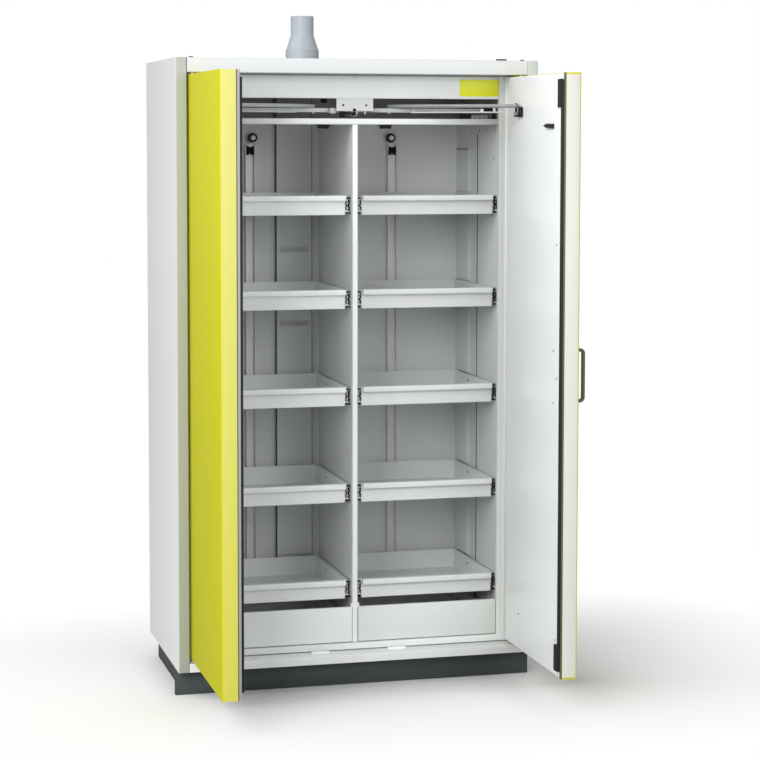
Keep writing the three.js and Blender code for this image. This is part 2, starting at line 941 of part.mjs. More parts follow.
// Rod through the whole leaf that turns in the bottom rail and in the fascia
function hingeRod() {
  const bottom = railTopZ - casingSheet - rodEngagement;
  const top = fasciaZ + casingSheet + rodEngagement;
  const collarBottom = railTopZ + pivotGap;
  const collarTop = leafBottomZ - seatGap;
  return turned([
    [0, bottom],
    [rodRadius, bottom],
    [rodRadius, collarBottom],
    [collarRadius, collarBottom],
    [collarRadius, collarTop],
    [rodRadius, collarTop],
    [rodRadius, top],
    [0, top],
  ], smallSides);
}

function edgeStrip() {
  const u0 = freeEdgeU + edgeStripSetback;
  return block(
    [u0, u0 + edgeStripWidth],
    [leafInnerV + seatGap, leafInnerV + edgeStripThickness],
    leafRange,
  );
}

function leftSeal() {
  const u0 = freeEdgeU + 2 * edgeStripSetback;
  const v0 = leafInnerV + edgeStripThickness + seatGap;
  return block(
    [u0, u0 + leftSealWidth],
    [v0, v0 + leftSealThickness],
    [leafBottomZ + sealEndInset, leafTopZ - sealEndInset],
  );
}

// Seal strip with a wider block at each end that swells in a fire
function rightSeal() {
  const u0 = freeEdgeU + freeEdgeFlange + seatGap;
  const v0 = leafInnerV + seatGap;
  const z0 = leafBottomZ + sealEndInset;
  const z1 = leafTopZ - sealEndInset;
  const strip = block([u0, u0 + rightSealWidth], [v0, v0 + rightSealThickness], [z0, z1]);
  const blocks = [[z0, z0 + swellBlockHeight], [z1 - swellBlockHeight, z1]].map((range) => block(
    [u0, u0 + swellBlockWidth], [v0, v0 + swellBlockThickness], range,
  ));
  return join(strip, ...blocks);
}

// Bow drawn in v and z, on the outer face
function bowHandle() {
  const handleMidZ = leafBottomZ + handleAboveLeafFoot;
  const foot = leafOuterV - seatGap;
  const reach = foot - handleProjection;
  const z0 = handleMidZ - handleHeight / 2;
  const z1 = handleMidZ + handleHeight / 2;
  const bow = (v, zLow, zHigh, radius) => {
    const shape = new THREE.Shape();
    shape.moveTo(foot, zLow);
    shape.lineTo(v + radius, zLow);
    shape.absarc(v + radius, zLow + radius, radius, -Math.PI / 2, -Math.PI, true);
    shape.lineTo(v, zHigh - radius);
    shape.absarc(v + radius, zHigh - radius, radius, Math.PI, Math.PI / 2, true);
    shape.lineTo(foot, zHigh);
    shape.closePath();
    return shape;
  };
  const u0 = freeEdgeU + handleToFreeEdge - handleBarWidth / 2;
  const u1 = u0 + handleBarWidth;
  const t = handleBarThickness;
  const outer = profile('x', bow(reach, z0, z1, handleCornerRadius), u0, u1);
  const innerShape = bow(reach + t, z0 + t, z1 - t, handleCornerRadius - t);
  const inner = profile('x', innerShape, u0 - cutOverrun, u1 + cutOverrun);
  const footing = block([u0 - cutOverrun, u1 + cutOverrun], [foot - t, foot + t], [z0 + t, z1 - t]);
  return cut(outer, inner, footing);
}

// Pointed hook on the inner face, its tip towards the hinge
function catchHook() {
  const u0 = freeEdgeU + hookToFreeEdge;
  const u1 = u0 + hookLength;
  const half = hookHeight / 2;
  const hookZ = crossRailZ - hookDrop;
  const outline = [
    [u0, hookZ - half],
    [u1 - hookTipLength, hookZ - half],
    [u1, hookZ],
    [u1 - hookTipLength, hookZ + half],
    [u0, hookZ + half],
  ];
  const v0 = leafInnerV + seatGap;
  return profile('y', outline, v0, v0 + hookThickness);
}

const armPinU = -armBracketRadial;
const armPinV = leafInnerV + armPinStandOff;

// Plate on the inner face with an ear and the upright pin of the closing arm
function armBracket() {
  const half = armBracketWidth / 2;
  const v0 = leafInnerV + seatGap;
  const earTop = armBracketZ + armBracketEar;
  return join(
    block(
      [armPinU - half, armPinU + half],
      [v0, v0 + armBracketPlate],
      [armBracketZ, armBracketZ + armBracketHeight],
    ),
    block([armPinU - half, armPinU + half], [v0, armPinV + armPinRadius], [armBracketZ, earTop]),
    post(armPinRadius, armPinU, armPinV, armBracketZ, armBarZ + armBarHeight + armBracketPlate),
  );
}

// How long the arm is, so that its roller stands beside the middle when the leaf is shut
function armLength() {
  const pinX = pivotX + armPinU;
  const pinY = pivotY + armPinV;
  return Math.hypot(pinX - armClosedX, guideRailMidY - pinY);
}

// Arm in its own frame: its pivot on the leaf at the origin, its roller end at +length along x
function closingArm() {
  const length = armLength();
  const bossZ = armBracketZ + armBracketEar + pivotGap;
  const top = armBarZ + armBarHeight;
  const halfWidth = armBarWidth / 2;
  const body = join(
    block([0, length], [-halfWidth, halfWidth], [armBarZ, top]),
    post(halfWidth, length, 0, armBarZ, top),
    post(armBossRadius, 0, 0, bossZ, top),
    post(armRollerRadius, length, 0, guideRailZ + guideRailHeight + rollerGap, armBarZ + armBarHeight / 2),
  );
  return cut(body, post(armPinRadius + pivotGap, 0, 0, bossZ - cutOverrun, top + cutOverrun));
}

// Assembly

const cabinet = new THREE.Group();

cabinet.add(
  piece('side_casing_left', sideCasing(sides.left), 'paleLacquer'),
  piece('side_casing_right', sideCasing(sides.right), 'paleLacquer'),
  piece('rear_casing', rearCasing(), 'paleLacquer'),
  piece('roof_casing', roofCasing(), 'paleLacquer'),
  piece('base_plate', basePlate(), 'paleLacquer'),
  piece('top_fascia', topFascia(), 'paleLacquer'),
  piece('bottom_rail', bottomRail(), 'paleLacquer'),
  piece('plinth', plinth(), 'plinthGrey'),
  piece('insulation_left', sideInsulation(sides.left), 'insulation'),
  piece('insulation_right', sideInsulation(sides.right), 'insulation'),
  piece('insulation_rear', rearInsulation(), 'insulation'),
  piece('insulation_roof', roofInsulation(), 'insulation'),
  piece('insulation_floor', floorInsulation(), 'insulation'),
  piece('side_lining_left', sideLining(sides.left), 'interiorLacquer'),
  piece('side_lining_right', sideLining(sides.right), 'interiorLacquer'),
  piece('rear_lining', rearLining(), 'interiorLacquer'),
  piece('roof_lining', roofLining(), 'interiorLacquer'),
  piece('floor_lining', floorLining(), 'interiorLacquer'),
  piece('front_frame', frontFrame(), 'paleLacquer'),
  piece('centre_partition', centrePartition(), 'whiteLacquer'),
  piece('header_panel', headerPanel(), 'interiorLacquer'),
  piece('cross_rail', crossRail(), 'whiteLacquer'),
  piece('guide_rail', guideRail(), 'zinc'),
  piece('closer_bracket', closerBracket(), 'whiteLacquer'),
  piece('exhaust_duct', exhaustDuct(), 'interiorLacquer'),
  piece('duct_reducer', ductReducer(), 'socketPlastic'),
);

for (const [name, side] of Object.entries(sides)) {
  cabinet.add(piece(`rear_channel_${name}`, rearChannel(side), 'zinc'));
  const pulley = piece(`pulley_${name}`, pulleyDisc(), 'blackPlastic');
  pulley.rotation.x = Math.PI / 2;
  pulley.position.set(side * pulleyX, pulleyBackY - pulleyWidth / 2 - pivotGap, pulleyZ);
  cabinet.add(pulley);
}

for (const [name, side] of Object.entries(sides)) {
  trayRimZs.forEach((rim, level) => {
    const shelf = piece(`tray_${name}_${level + 1}`, tray(), 'paleLacquer');
    shelf.position.set(side * columnX, 0, rim - trayHeight);
    cabinet.add(shelf);
  });
  const drawer = piece(`base_drawer_${name}`, baseDrawer(side), 'paleLacquer');
  drawer.position.x = side * columnX;
  cabinet.add(drawer);
}

// The pieces of one leaf hang in a group on the hinge axis, turned open
for (const [name, side] of Object.entries(sides)) {
  const leaf = new THREE.Group();
  const add = (suffix, solid, finish) => {
    leaf.add(piece(`${name}_door_${suffix}`, mirrored(solid, side), finish));
  };
  add('skin', leafSkin(), 'yellowLacquer');
  add('core', leafCore(), 'insulation');
  add('lining', leafLining(), 'whiteLacquer');
  add('hinge_rod', hingeRod(), 'zinc');
  add('catch_hook', catchHook(), 'blackPlastic');
  add('arm_bracket', armBracket(), 'blackPlastic');
  if (side === sides.left) {
    add('edge_strip', edgeStrip(), 'greyStrip');
    add('seal', leftSeal(), 'blackSeal');
  } else {
    add('seal', rightSeal(), 'blackSeal');
    add('handle', bowHandle(), 'handleGrey');
  }
  leaf.position.set(side * pivotX, pivotY, 0);
  leaf.rotation.z = side * openAngle;
  cabinet.add(leaf);

  // The arm runs from its pin on the open leaf to the guide rail, towards the middle
  const pin = new THREE.Vector2(side * armPinU, armPinV)
    .rotateAround(new THREE.Vector2(), side * openAngle)
    .add(new THREE.Vector2(side * pivotX, pivotY));
  const rise = guideRailMidY - pin.y;
  const run = Math.sqrt(armLength() ** 2 - rise ** 2);
  const arm = piece(`closing_arm_${name}`, closingArm(), 'zinc');
  arm.position.set(pin.x, pin.y, 0);
  arm.rotation.z = Math.atan2(rise, -side * run);
  cabinet.add(arm);
}

export default cabinet;
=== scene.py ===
"""Looks of the fireproof safety cabinet: its finishes, folded sheets, seals and fittings, built around
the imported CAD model. +Z is up, +X to the right, the doors face -Y, and the leaves stand open. Shapes are
worked out in millimetres, and a mesh takes its points in metres."""

import math
from collections import namedtuple

import bmesh
import bpy
import numpy as np
from bpy.props import FloatProperty, FloatVectorProperty, PointerProperty
from bpy.types import Operator, Panel, PropertyGroup
from mathutils import Matrix, Vector


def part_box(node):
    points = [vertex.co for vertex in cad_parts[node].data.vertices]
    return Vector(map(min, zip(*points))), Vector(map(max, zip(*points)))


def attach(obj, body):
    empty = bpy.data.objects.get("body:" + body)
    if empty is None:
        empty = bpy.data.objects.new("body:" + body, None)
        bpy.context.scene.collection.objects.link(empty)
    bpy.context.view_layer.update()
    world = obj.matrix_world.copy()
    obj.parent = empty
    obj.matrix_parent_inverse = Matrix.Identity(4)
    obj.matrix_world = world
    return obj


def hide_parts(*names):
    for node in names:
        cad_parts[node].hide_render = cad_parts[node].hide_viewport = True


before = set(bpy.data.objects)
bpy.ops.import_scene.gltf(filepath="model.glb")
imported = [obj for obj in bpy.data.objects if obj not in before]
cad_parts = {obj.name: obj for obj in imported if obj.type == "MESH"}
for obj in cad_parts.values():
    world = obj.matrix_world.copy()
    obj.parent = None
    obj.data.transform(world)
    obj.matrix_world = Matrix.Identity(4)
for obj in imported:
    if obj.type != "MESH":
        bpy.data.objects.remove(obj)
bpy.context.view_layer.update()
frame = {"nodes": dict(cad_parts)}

bl_info = {
    "name": "Fireproof Safety Cabinet",
    "version": (1, 0, 0),
    "blender": (4, 5, 0),
    "location": "View3D > Sidebar > Cabinet",
    "description": "Builds the visible pieces and finishes of a fireproof safety cabinet",
    "category": "Object",
}

MM = 0.001
SIDES = {"left": -1, "right": 1}
LEVELS = range(1, 6)


# Places read from the CAD model

Box = namedtuple("Box", "x0 y0 z0 x1 y1 z1")


def box(node):
    """The corners of a CAD node as six numbers in millimetres."""
    return Box(*(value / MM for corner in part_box(node) for value in corner))


CASING = box("side_casing_right")
FASCIA = box("top_fascia")
BOTTOM_RAIL = box("bottom_rail")
FRAME = box("front_frame")
LINING = box("side_lining_right")
REAR_LINING = box("rear_lining")
PARTITION = box("centre_partition")
HEADER = box("header_panel")
CROSS_RAIL = box("cross_rail")
GUIDE_RAIL = box("guide_rail")
HANGER = box("closer_bracket")
DUCT = box("exhaust_duct")
REDUCER = box("duct_reducer")
CHANNEL = box("rear_channel_right")
PULLEY = box("pulley_right")
ARM = box("closing_arm_right")
PLINTH = box("plinth")
SKIN = box("right_door_skin")
LEAF_LINING = box("right_door_lining")
HANDLE = box("right_door_handle")
HOOK = box("right_door_catch_hook")
DRAWER = box("base_drawer_right")
TRAYS = {level: box(f"tray_right_{level}") for level in LEVELS}

# Thicknesses and places that the boxes don't give: the sheets' gauge, how far a slide's moving member stands
# out on its wall side and on its partition side, and where the jamb, the wall's face and the slides lie
GAUGE = 1.5
SLIDE_REACH = 7.5
INNER_REACH = 10.5
FIXED_RAIL_DEPTH = 9
PARTITION_HALF = 8
JAMB_X = HEADER.x1 + 3.8
WALL_X = LINING.x0 + FIXED_RAIL_DEPTH
RAIL_TOP = CROSS_RAIL.z1 + 2.4
SLIDE_LIFT = 8
SLIDE_HEIGHT = 54
SLIDE_FRONT_Y = TRAYS[1].y0 + 23
SLIDE_REAR_INSET = 7
DRAWER_PAN_Z = DRAWER.z0 + 0.3


# Sizes and colours that a user may change

def length(name, description, millimetres):
    return FloatProperty(
        name=name, description=description, default=millimetres * MM, min=0.0, precision=4, unit="LENGTH")


def linear(code):
    """A hexadecimal screen colour as the linear colour that a shader takes."""
    channels = np.array([int(code[i:i + 2], 16) / 255 for i in (0, 2, 4)])
    return tuple(np.where(channels <= 0.04045, channels / 12.92, ((channels + 0.055) / 1.055) ** 2.4))


def colour(name, description, code):
    return FloatVectorProperty(
        name=name, description=description, default=linear(code), min=0.0, max=1.0, size=3, subtype="COLOR")


class CabinetSizes(PropertyGroup):
    """Small sizes of the visible pieces."""
    edge: length("Edge easing", "Rounding of cut edges", 0.5)
    bend: length("Bend radius", "Inner radius of the folds in the casing and the leaves", 1.5)
    tray_bend: length("Tray bend radius", "Inner radius of the folds in the trays and drawers", 1.2)
    screw: length("Screw head radius", "Radius of the pan heads on the leaf linings", 3)
    lip: length("Tray lip height", "Height of the grip lip along the front of each tray", 18)
    lip_depth: length("Tray lip depth", "How far the grip lip stands in front of the tray", 20)
    notice_width: length("Notice plate width", "Width of the bare plate on the header", 133)
    notice_height: length("Notice plate height", "Height of the bare plate on the header", 55)
    peel: length("Lacquer grain", "Size of the fine grain in the powder coat", 1.6)
    spangle: length("Zinc spangle", "Size of the crystals in the zinc coat", 4)


class CabinetColours(PropertyGroup):
    """Base colours of the finishes."""
    casing: colour("Casing", "Lacquer of the outer casing and the front frame", "e6e9e6")
    # The fascia's and right stile's tones are partly their own and partly painted shade; the left stile's
    # tone is painted shadow of the open left leaf with a painted yellow reflection of it.
    front: colour("Fascia", "Lacquer of the top fascia", "d8dbdb")
    left_stile: colour("Left stile", "Lacquer of the front face beside the left leaf", "afb4ad")
    right_stile: colour("Right stile", "Lacquer of the front face beside the right leaf", "c8cfc9")
    door: colour("Door", "Lacquer of the door skins", "d4d112")
    # The door edge colour is a painted highlight, and the flange colour below it is painted shade that turns
    # the yellow fold olive.
    pale_edge: colour("Door edge", "Paler lacquer on the free edge of the leaves", "dcd97e")
    flange: colour("Door flange", "Olive fold between the edge and the seal of a leaf", "6b7052")
    trim: colour("Edge panel", "Panel set into the free edge of the right leaf", "e2e2da")
    gear: colour("Guide rail", "Steel of the rail of the closing arms", "b8bbba")
    arm: colour("Closing arms", "Steel of the closing arms", "a9acac")
    cover: colour("Hinge cover", "Strip beside the hinges, behind the leaves", "e9ecf2")
    gasket: colour("Gasket", "Thin seal round the front frame", "777b7a")
    channel: colour("Rear channel", "Pale zinc of the channels on the rear wall", "efeff0")
    frame: colour("Front frame", "Lacquer of the front frame and the bottom rail", "d8dbd8")
    rear: colour("Rear lining", "Lacquer of the inner rear wall", "e6e9e7")
    partition: colour("Partition", "Lacquer of the centre partition", "e6e8e8")
    lining: colour("Door lining", "White lacquer of the leaf linings and edges", "fbfdff")
    interior: colour("Interior", "Lacquer of the inner linings", "d9dcda")
    tray: colour("Trays", "Lacquer of the trays and drawers", "dfe2e0")
    plinth: colour("Plinth", "Laminate of the plinth boards", "454b4c")
    board: colour("Insulation", "Fire-resistant board inside the walls", "cfc7b4")
    zinc: colour("Zinc", "Zinc-coated rails, channels and slides", "b9bcbd")
    socket: colour("Socket", "Plastic of the exhaust socket", "a2aab1")
    seal: colour("Seal", "Rubber of the seals", "1b1c1e")
    black: colour("Black plastic", "Mouldings, clips and hooks", "1f2022")
    strip: colour("Edge strip", "Plastic strip along the left leaf", "a9a7a8")
    handle: colour("Handle", "Bow handle", "5f5b56")
    notice: colour("Notice plate", "Bare plate on the header", "d9dc1a")
    floor: colour("Floor", "Studio floor and backdrop", "f4f4f4")
    floor_bounce: colour("Floor bounce", "How much light the floor throws back at the cabinet", "9c9c9c")


Sizes = namedtuple("Sizes", CabinetSizes.__annotations__)


def sizes():
    """The user's sizes in millimetres."""
    group = bpy.context.scene.cabinet_sizes
    return Sizes(*(getattr(group, name) / MM for name in Sizes._fields))


# Shapes: closed shells held as arrays of points, corner numbers and corner counts

Shell = namedtuple("Shell", "points corners counts")
AXIS_ORDER = {"x": (1, 2, 0), "y": (0, 2, 1), "z": (0, 1, 2)}
SMOOTHING_ANGLE = math.radians(35)
ORIGIN = (0, 0, 0)


def unit(vectors):
    return vectors / np.maximum(np.linalg.norm(vectors, axis=-1, keepdims=True), 1e-12)


def edge_directions(path, closed):
    """Unit directions of the edges before and after each point of a path."""
    path = np.asarray(path, float)
    ahead = unit(np.roll(path, -1, axis=0) - path)
    behind = np.roll(ahead, 1, axis=0)
    if not closed:
        ahead[-1] = behind[-1]
        behind[0] = ahead[0]
    return behind, ahead


def turns(path, closed):
    """Signed angle turned at each point: positive to the left."""
    behind, ahead = edge_directions(path, closed)
    cross = behind[:, 0] * ahead[:, 1] - behind[:, 1] * ahead[:, 0]
    return np.arctan2(cross, (behind * ahead).sum(axis=1))


def offset(path, distance, closed=True):
    """Moves every edge of a path to its right by a distance: each point goes along the sum of its two
    edge normals over one plus their dot product, which is the mitre."""
    behind, ahead = edge_directions(path, closed)
    before, after = behind[:, ::-1] * [1, -1], ahead[:, ::-1] * [1, -1]
    mitre = (before + after) / (1 + (before * after).sum(axis=1))[:, None]
    return np.asarray(path, float) + distance * mitre


def rounded(path, radius, closed=True, steps=5):
    """Rounds the corners of a path. The arc at a corner starts where the edge behind is cut back by the
    radius times the tangent of half the turn, and sweeps the turn in equal angles about its centre."""
    path = np.asarray(path, float)
    angle = turns(path, closed)
    radius = np.broadcast_to(radius, len(path)) * (np.abs(angle) > 1e-6)
    behind, ahead = edge_directions(path, closed)
    start = path - behind * (radius * np.tan(np.abs(angle) / 2))[:, None]
    inward = behind[:, ::-1] * [-1, 1] * np.sign(angle)[:, None]
    centre = start + inward * radius[:, None]
    sweep = np.linspace(0, 1, steps + 1) * np.abs(angle)[:, None]
    arc = (centre[:, None] - inward[:, None] * (radius[:, None] * np.cos(sweep))[..., None]
           + behind[:, None] * (radius[:, None] * np.sin(sweep))[..., None])
    keep = (radius[:, None] > 0) | (np.arange(steps + 1) == 0)
    return arc[keep]


def rectangle(a0, a1, b0, b1):
    return np.array([(a0, b0), (a1, b0), (a1, b1), (a0, b1)])


def placed(plane, along, axis):
    """Points with the two coordinates of a plane and the third along its axis."""
    plane = np.asarray(plane, float)
    first, second, third = AXIS_ORDER[axis]
    points = np.empty(plane.shape[:-1] + (3,))
    points[..., first] = plane[..., 0]
    points[..., second] = plane[..., 1]
    points[..., third] = along
    return points


def shell(rings, loop=False):
    """Quads between neighbouring closed rings of points. With loop the last ring joins the first, and
    otherwise the first and the last ring each get a face."""
    rows, columns = rings.shape[:2]
    index = np.arange(rows * columns).reshape(rows, columns)
    if loop:
        index = np.vstack([index, index[:1]])
    ahead = np.roll(index, -1, axis=1)
    quads = np.stack([index[:-1], ahead[:-1], ahead[1:], index[1:]], axis=-1).reshape(-1, 4)
    corners, counts = [quads.ravel()], [np.full(len(quads), 4)]
    if not loop:
        corners += [index[0][::-1], index[-1]]
        counts += [np.array([columns, columns])]
    return Shell(rings.reshape(-1, 3), np.concatenate(corners), np.concatenate(counts))


def joined(*shells):
    """Several shells as one, each one's corner numbers moved past the points before it."""
    starts = np.cumsum([0] + [len(s.points) for s in shells[:-1]])
    return Shell(
        np.concatenate([s.points for s in shells]),
        np.concatenate([s.corners + start for s, start in zip(shells, starts)]),
        np.concatenate([s.counts for s in shells]),
    )


def moved(part, place):
    return part._replace(points=part.points + np.asarray(place, float))


def flipped(part, side=-1):
    """A shell made for the right-hand side, mirrored to the other side where side is -1."""
    return part._replace(points=part.points * [side, 1, 1])


def both_sides(part):
    return joined(part, flipped(part))


def slab(outline, axis, low, high, edge=0.0):
    """A solid of one outline along an axis. Towards each end the outline draws in by the edge times one
    minus the sine, and the level by the edge times one minus the cosine, of a quarter turn."""
    outline = np.asarray(outline, float)
    if turns(outline, True).sum() < 0:
        outline = outline[::-1]
    quarter = np.linspace(0, math.pi / 2, 3) if edge else np.array([math.pi / 2])
    inset = edge * (1 - np.sin(quarter))
    rise = edge * (1 - np.cos(quarter)) if edge else np.zeros(1)
    levels = np.concatenate([low + rise, (high - rise)[::-1]])
    insets = np.concatenate([inset, inset[::-1]])
    mitre = offset(outline, 1.0) - outline
    rings = outline - insets[:, None, None] * mitre
    return shell(placed(rings, levels[:, None], axis))


def block(x, y, z, axis="z", corner=0.0, edge=0.0):
    """A box with rounded corners in the plane across an axis and eased edges at its two ends."""
    spans = {"x": (y, z, x), "y": (x, z, y), "z": (x, y, z)}[axis]
    outline = rectangle(*sorted(spans[0]), *sorted(spans[1]))
    if corner:
        outline = rounded(outline, corner, steps=3)
    return slab(outline, axis, min(spans[2]), max(spans[2]), edge)


def folded(path, gauge, bend, axis, low, high, steps=4):
    """A sheet bent along a path, its metal on the left of the path, carried along an axis. At a bend the
    inner face turns at the bend radius and the outer face about the same centre, one gauge further out."""
    left = turns(path, False) > 0
    near = rounded(path, np.where(left, bend + gauge, bend), False, steps)
    far = rounded(offset(path, -gauge, False), np.where(left, bend, bend + gauge), False, steps)
    corners = ((near, low), (near, high), (far, high), (far, low))
    return shell(np.stack([placed(face, along, axis) for face, along in corners], axis=1))


def turned(section, centre, axis, sides, loop=False):
    """A section of radius and height pairs turned about an axis through the centre."""
    section = np.asarray(section, float)
    angles = np.linspace(0, 2 * math.pi, sides, endpoint=False)
    circle = np.stack([np.cos(angles), np.sin(angles)], axis=-1)
    first, second, third = AXIS_ORDER[axis]
    middle = np.array([centre[first], centre[second]])
    plane = middle + section[:, None, :1] * circle
    return shell(placed(plane, centre[third] + section[:, 1:], axis), loop=loop)


def swept(path, section, up):
    """A closed section carried along a path of points: its first coordinate lies along the cross product
    of the path's direction and up, its second along up."""
    path, up = np.asarray(path, float), np.asarray(up, float)
    sideways = unit(np.cross(np.gradient(path, axis=0), up))
    return shell(path[:, None] + section[None, :, :1] * sideways[:, None] + section[None, :, 1:] * up)


def framed(rows):
    """A shell around a rectangular opening: each row gives half the width, the lower and upper edge, the
    corner radius and the depth of one rectangular ring."""
    rings = [
        placed(rounded(rectangle(-half, half, low, high), radius, steps=4), depth, "y")
        for half, low, high, radius, depth in rows
    ]
    return shell(np.stack(rings), loop=True)


def copies(part, places):
    return joined(*(moved(part, place) for place in places))


def screw_head(axis, outward, radius):
    """A pan head at the origin: a low dome with a round recess, standing on the plane across its axis."""
    rise = np.array([
        (1.0, 0.0), (1.0, 0.18), (0.93, 0.34), (0.72, 0.46), (0.42, 0.5), (0.38, 0.14), (0.1, 0.1),
    ]) * radius
    return turned(rise * [1, outward], ORIGIN, axis, 14)


# Materials: shader maths written as expressions

class Flow:
    """An output of a shader node. Arithmetic on it adds Math nodes to the same tree."""

    def __init__(self, nodes, output):
        self.nodes = nodes
        self.output = output

    def __add__(self, other):
        return self.nodes.math("ADD", self, other)

    def __sub__(self, other):
        return self.nodes.math("SUBTRACT", self, other)

    def __rsub__(self, other):
        return self.nodes.math("SUBTRACT", other, self)

    def __mul__(self, other):
        return self.nodes.math("MULTIPLY", self, other)

    def __gt__(self, other):
        return self.nodes.math("GREATER_THAN", self, other)

    def __lt__(self, other):
        return self.nodes.math("LESS_THAN", self, other)

    def __abs__(self):
        return self.nodes.math("ABSOLUTE", self)

    __radd__ = __add__
    __rmul__ = __mul__


class Nodes:
    """A node tree that grows by expressions."""

    def __init__(self, tree):
        self.tree = tree

    def node(self, kind, inputs=None, output=0, **settings):
        """Adds a node: its settings first, then the values or links of its sockets."""
        node = self.tree.nodes.new(kind)
        for key, value in settings.items():
            setattr(node, key, value)
        for key, value in (inputs or {}).items():
            self.feed(node.inputs[key], value)
        return Flow(self, node.outputs[output])

    def feed(self, socket, value):
        if isinstance(value, Flow):
            self.tree.links.new(value.output, socket)
        else:
            socket.default_value = value

    def math(self, operation, *values):
        return self.node("ShaderNodeMath", dict(enumerate(values)), operation=operation)

    def ray(self, kind):
        """Whether a light path's ray is of a kind."""
        return self.node("ShaderNodeLightPath", output=f"Is {kind} Ray")

    def mixed_surface(self, factor, first, second):
        """Feeds the tree's output with a mix of two shaders."""
        mix = self.node("ShaderNodeMixShader", {0: factor, 1: first, 2: second})
        output = next(node for node in self.tree.nodes if "Surface" in node.inputs)
        self.feed(output.inputs["Surface"], mix)


class Recipe(Nodes):
    """A material with one Principled shader, whose varying sockets are fed by expressions. Its places are in
    metres, as Blender has them, and the sizes that its methods take are in millimetres."""

    def __init__(self, name):
        self.material = bpy.data.materials.new(name)
        self.material.use_nodes = True
        super().__init__(self.material.node_tree)
        self.shader = self.tree.nodes["Principled BSDF"]
        self.place = self.node("ShaderNodeTexCoord", output="Object")

    def coordinate(self, axis):
        return self.node("ShaderNodeSeparateXYZ", {"Vector": self.place}, output=axis)

    def stretched(self, scale):
        return self.node("ShaderNodeMapping", {"Vector": self.place, "Scale": scale})

    def noise(self, size, detail=2.0, roughness=0.5, vector=None):
        """Soft noise between 0 and 1 with features of one size."""
        inputs = {"Vector": vector or self.place, "Scale": 1 / (size * MM), "Detail": detail,
                  "Roughness": roughness}
        return self.node("ShaderNodeTexNoise", inputs, output="Fac")

    def cells(self, size):
        """Colour of the nearest cell of one size, as a number between 0 and 1."""
        inputs = {"Vector": self.place, "Scale": 1 / (size * MM)}
        cell = self.node("ShaderNodeTexVoronoi", inputs, output="Color")
        return self.node("ShaderNodeSeparateColor", {"Color": cell}, output="Red")

    def blend(self, factor, first, second):
        """A colour between two, by a factor."""
        inputs = {0: factor, 6: paint(first), 7: paint(second)}
        return self.node("ShaderNodeMix", inputs, output=2, data_type="RGBA")

    def toned(self, base, level):
        """A colour scaled by a varying level, up to the brightest that the colour can be."""
        top = 1 / max(base)
        return self.blend(level * (1 / top), (0, 0, 0), shade(base, top))

    def bump(self, height, distance, strength):
        inputs = {"Height": height, "Distance": distance * MM, "Strength": strength}
        return self.node("ShaderNodeBump", inputs, output="Normal")

    def surface(self, **values):
        """Feeds the shader's sockets: a socket's name is written with underscores."""
        for key, value in values.items():
            self.feed(self.shader.inputs[key.replace("_", " ").title().replace("Ior", "IOR")], value)
        return self.material


def paint(value):
    """A colour as a socket takes it: links pass through, plain colours get full alpha."""
    return value if isinstance(value, Flow) else (*value, 1.0)


def shade(base, factor):
    """A colour scaled by a factor."""
    return tuple(min(1.0, channel * factor) for channel in base)


# Levels for a coat's tone, used to paint light and shade across a part: along an axis, falling towards both
# sides, or falling with height on the right.
def sloped(axis, start, slope):
    """A level that changes evenly along an axis, by a slope for each metre."""
    return lambda recipe: recipe.coordinate(axis) * slope + start


def domed(middle, fall):
    """A level that falls off from the middle plane towards both sides, with the square of the distance."""
    def level(recipe):
        across = recipe.coordinate("X")
        return middle - across * across * fall
    return level


def stacked(left, right, fall):
    """A level that is even on the left, and on the right falls with the square of the height."""
    def level(recipe):
        height = recipe.coordinate("Z")
        there = right - height * height * fall
        return there + (recipe.coordinate("X") < 0) * (left - there)
    return level


# Size of the soft clouds in a powder coat, depth of its orange peel, and how dark the painted shade above a
# given height is
CLOUD_SIZE = 350
PEEL_RELIEF = 0.03
PAINTED_SHADE_LEVEL = 0.3


def powder_coat(name, base, roughness=0.38, mottle=0.03, front_shades=None, painted_shade_from=None, level=None):
    """Sprayed powder coat: fine orange-peel grain, soft clouding and slightly uneven gloss. The tones given
    for the front faces replace the coat there: the left stile's is painted shadow of the open left leaf with
    a painted yellow reflection of it, and the fascia's and right stile's are partly their own tone and partly
    painted shade. Above a given height the coat is darkened as painted shade behind the header, and the
    level is painted light and shade that brighten or darken the coat across the part."""
    recipe = Recipe(name)
    cloud = recipe.noise(CLOUD_SIZE, 3.0)
    speck = recipe.noise(sizes().peel * 6, 3.0, 0.6)
    grain = recipe.noise(sizes().peel, 2.0)
    ripple = cloud * 0.7 + speck * 0.3
    if level:
        tone = recipe.toned(base, level(recipe) + (ripple - 0.5) * (2 * mottle))
    else:
        tone = recipe.blend(ripple, shade(base, 1 - mottle), shade(base, 1 + mottle))
    # painted shade on the front faces: the left stile's tone is painted shadow and painted reflection of the
    # open leaf, the others partly painted shade
    if front_shades:
        across, facing = recipe.coordinate("X"), recipe.coordinate("Y") < (CASING.y0 + 0.8) * MM
        masks = (facing, facing * (across < -CASING.x0 * MM), facing * (across > CASING.x0 * MM))
        for mask, front in zip(masks, front_shades):
            tone = recipe.blend(mask, tone, front)
    # painted shade: above this height the coat is darkened for the shade behind the header and the cross rail
    if painted_shade_from:
        tone = recipe.blend(recipe.coordinate("Z") > painted_shade_from * MM, tone, shade(base, PAINTED_SHADE_LEVEL))
    gloss = roughness - 0.05 + cloud * 0.06 + speck * 0.04
    return recipe.surface(base_color=tone, roughness=gloss, normal=recipe.bump(grain, PEEL_RELIEF, 0.5))


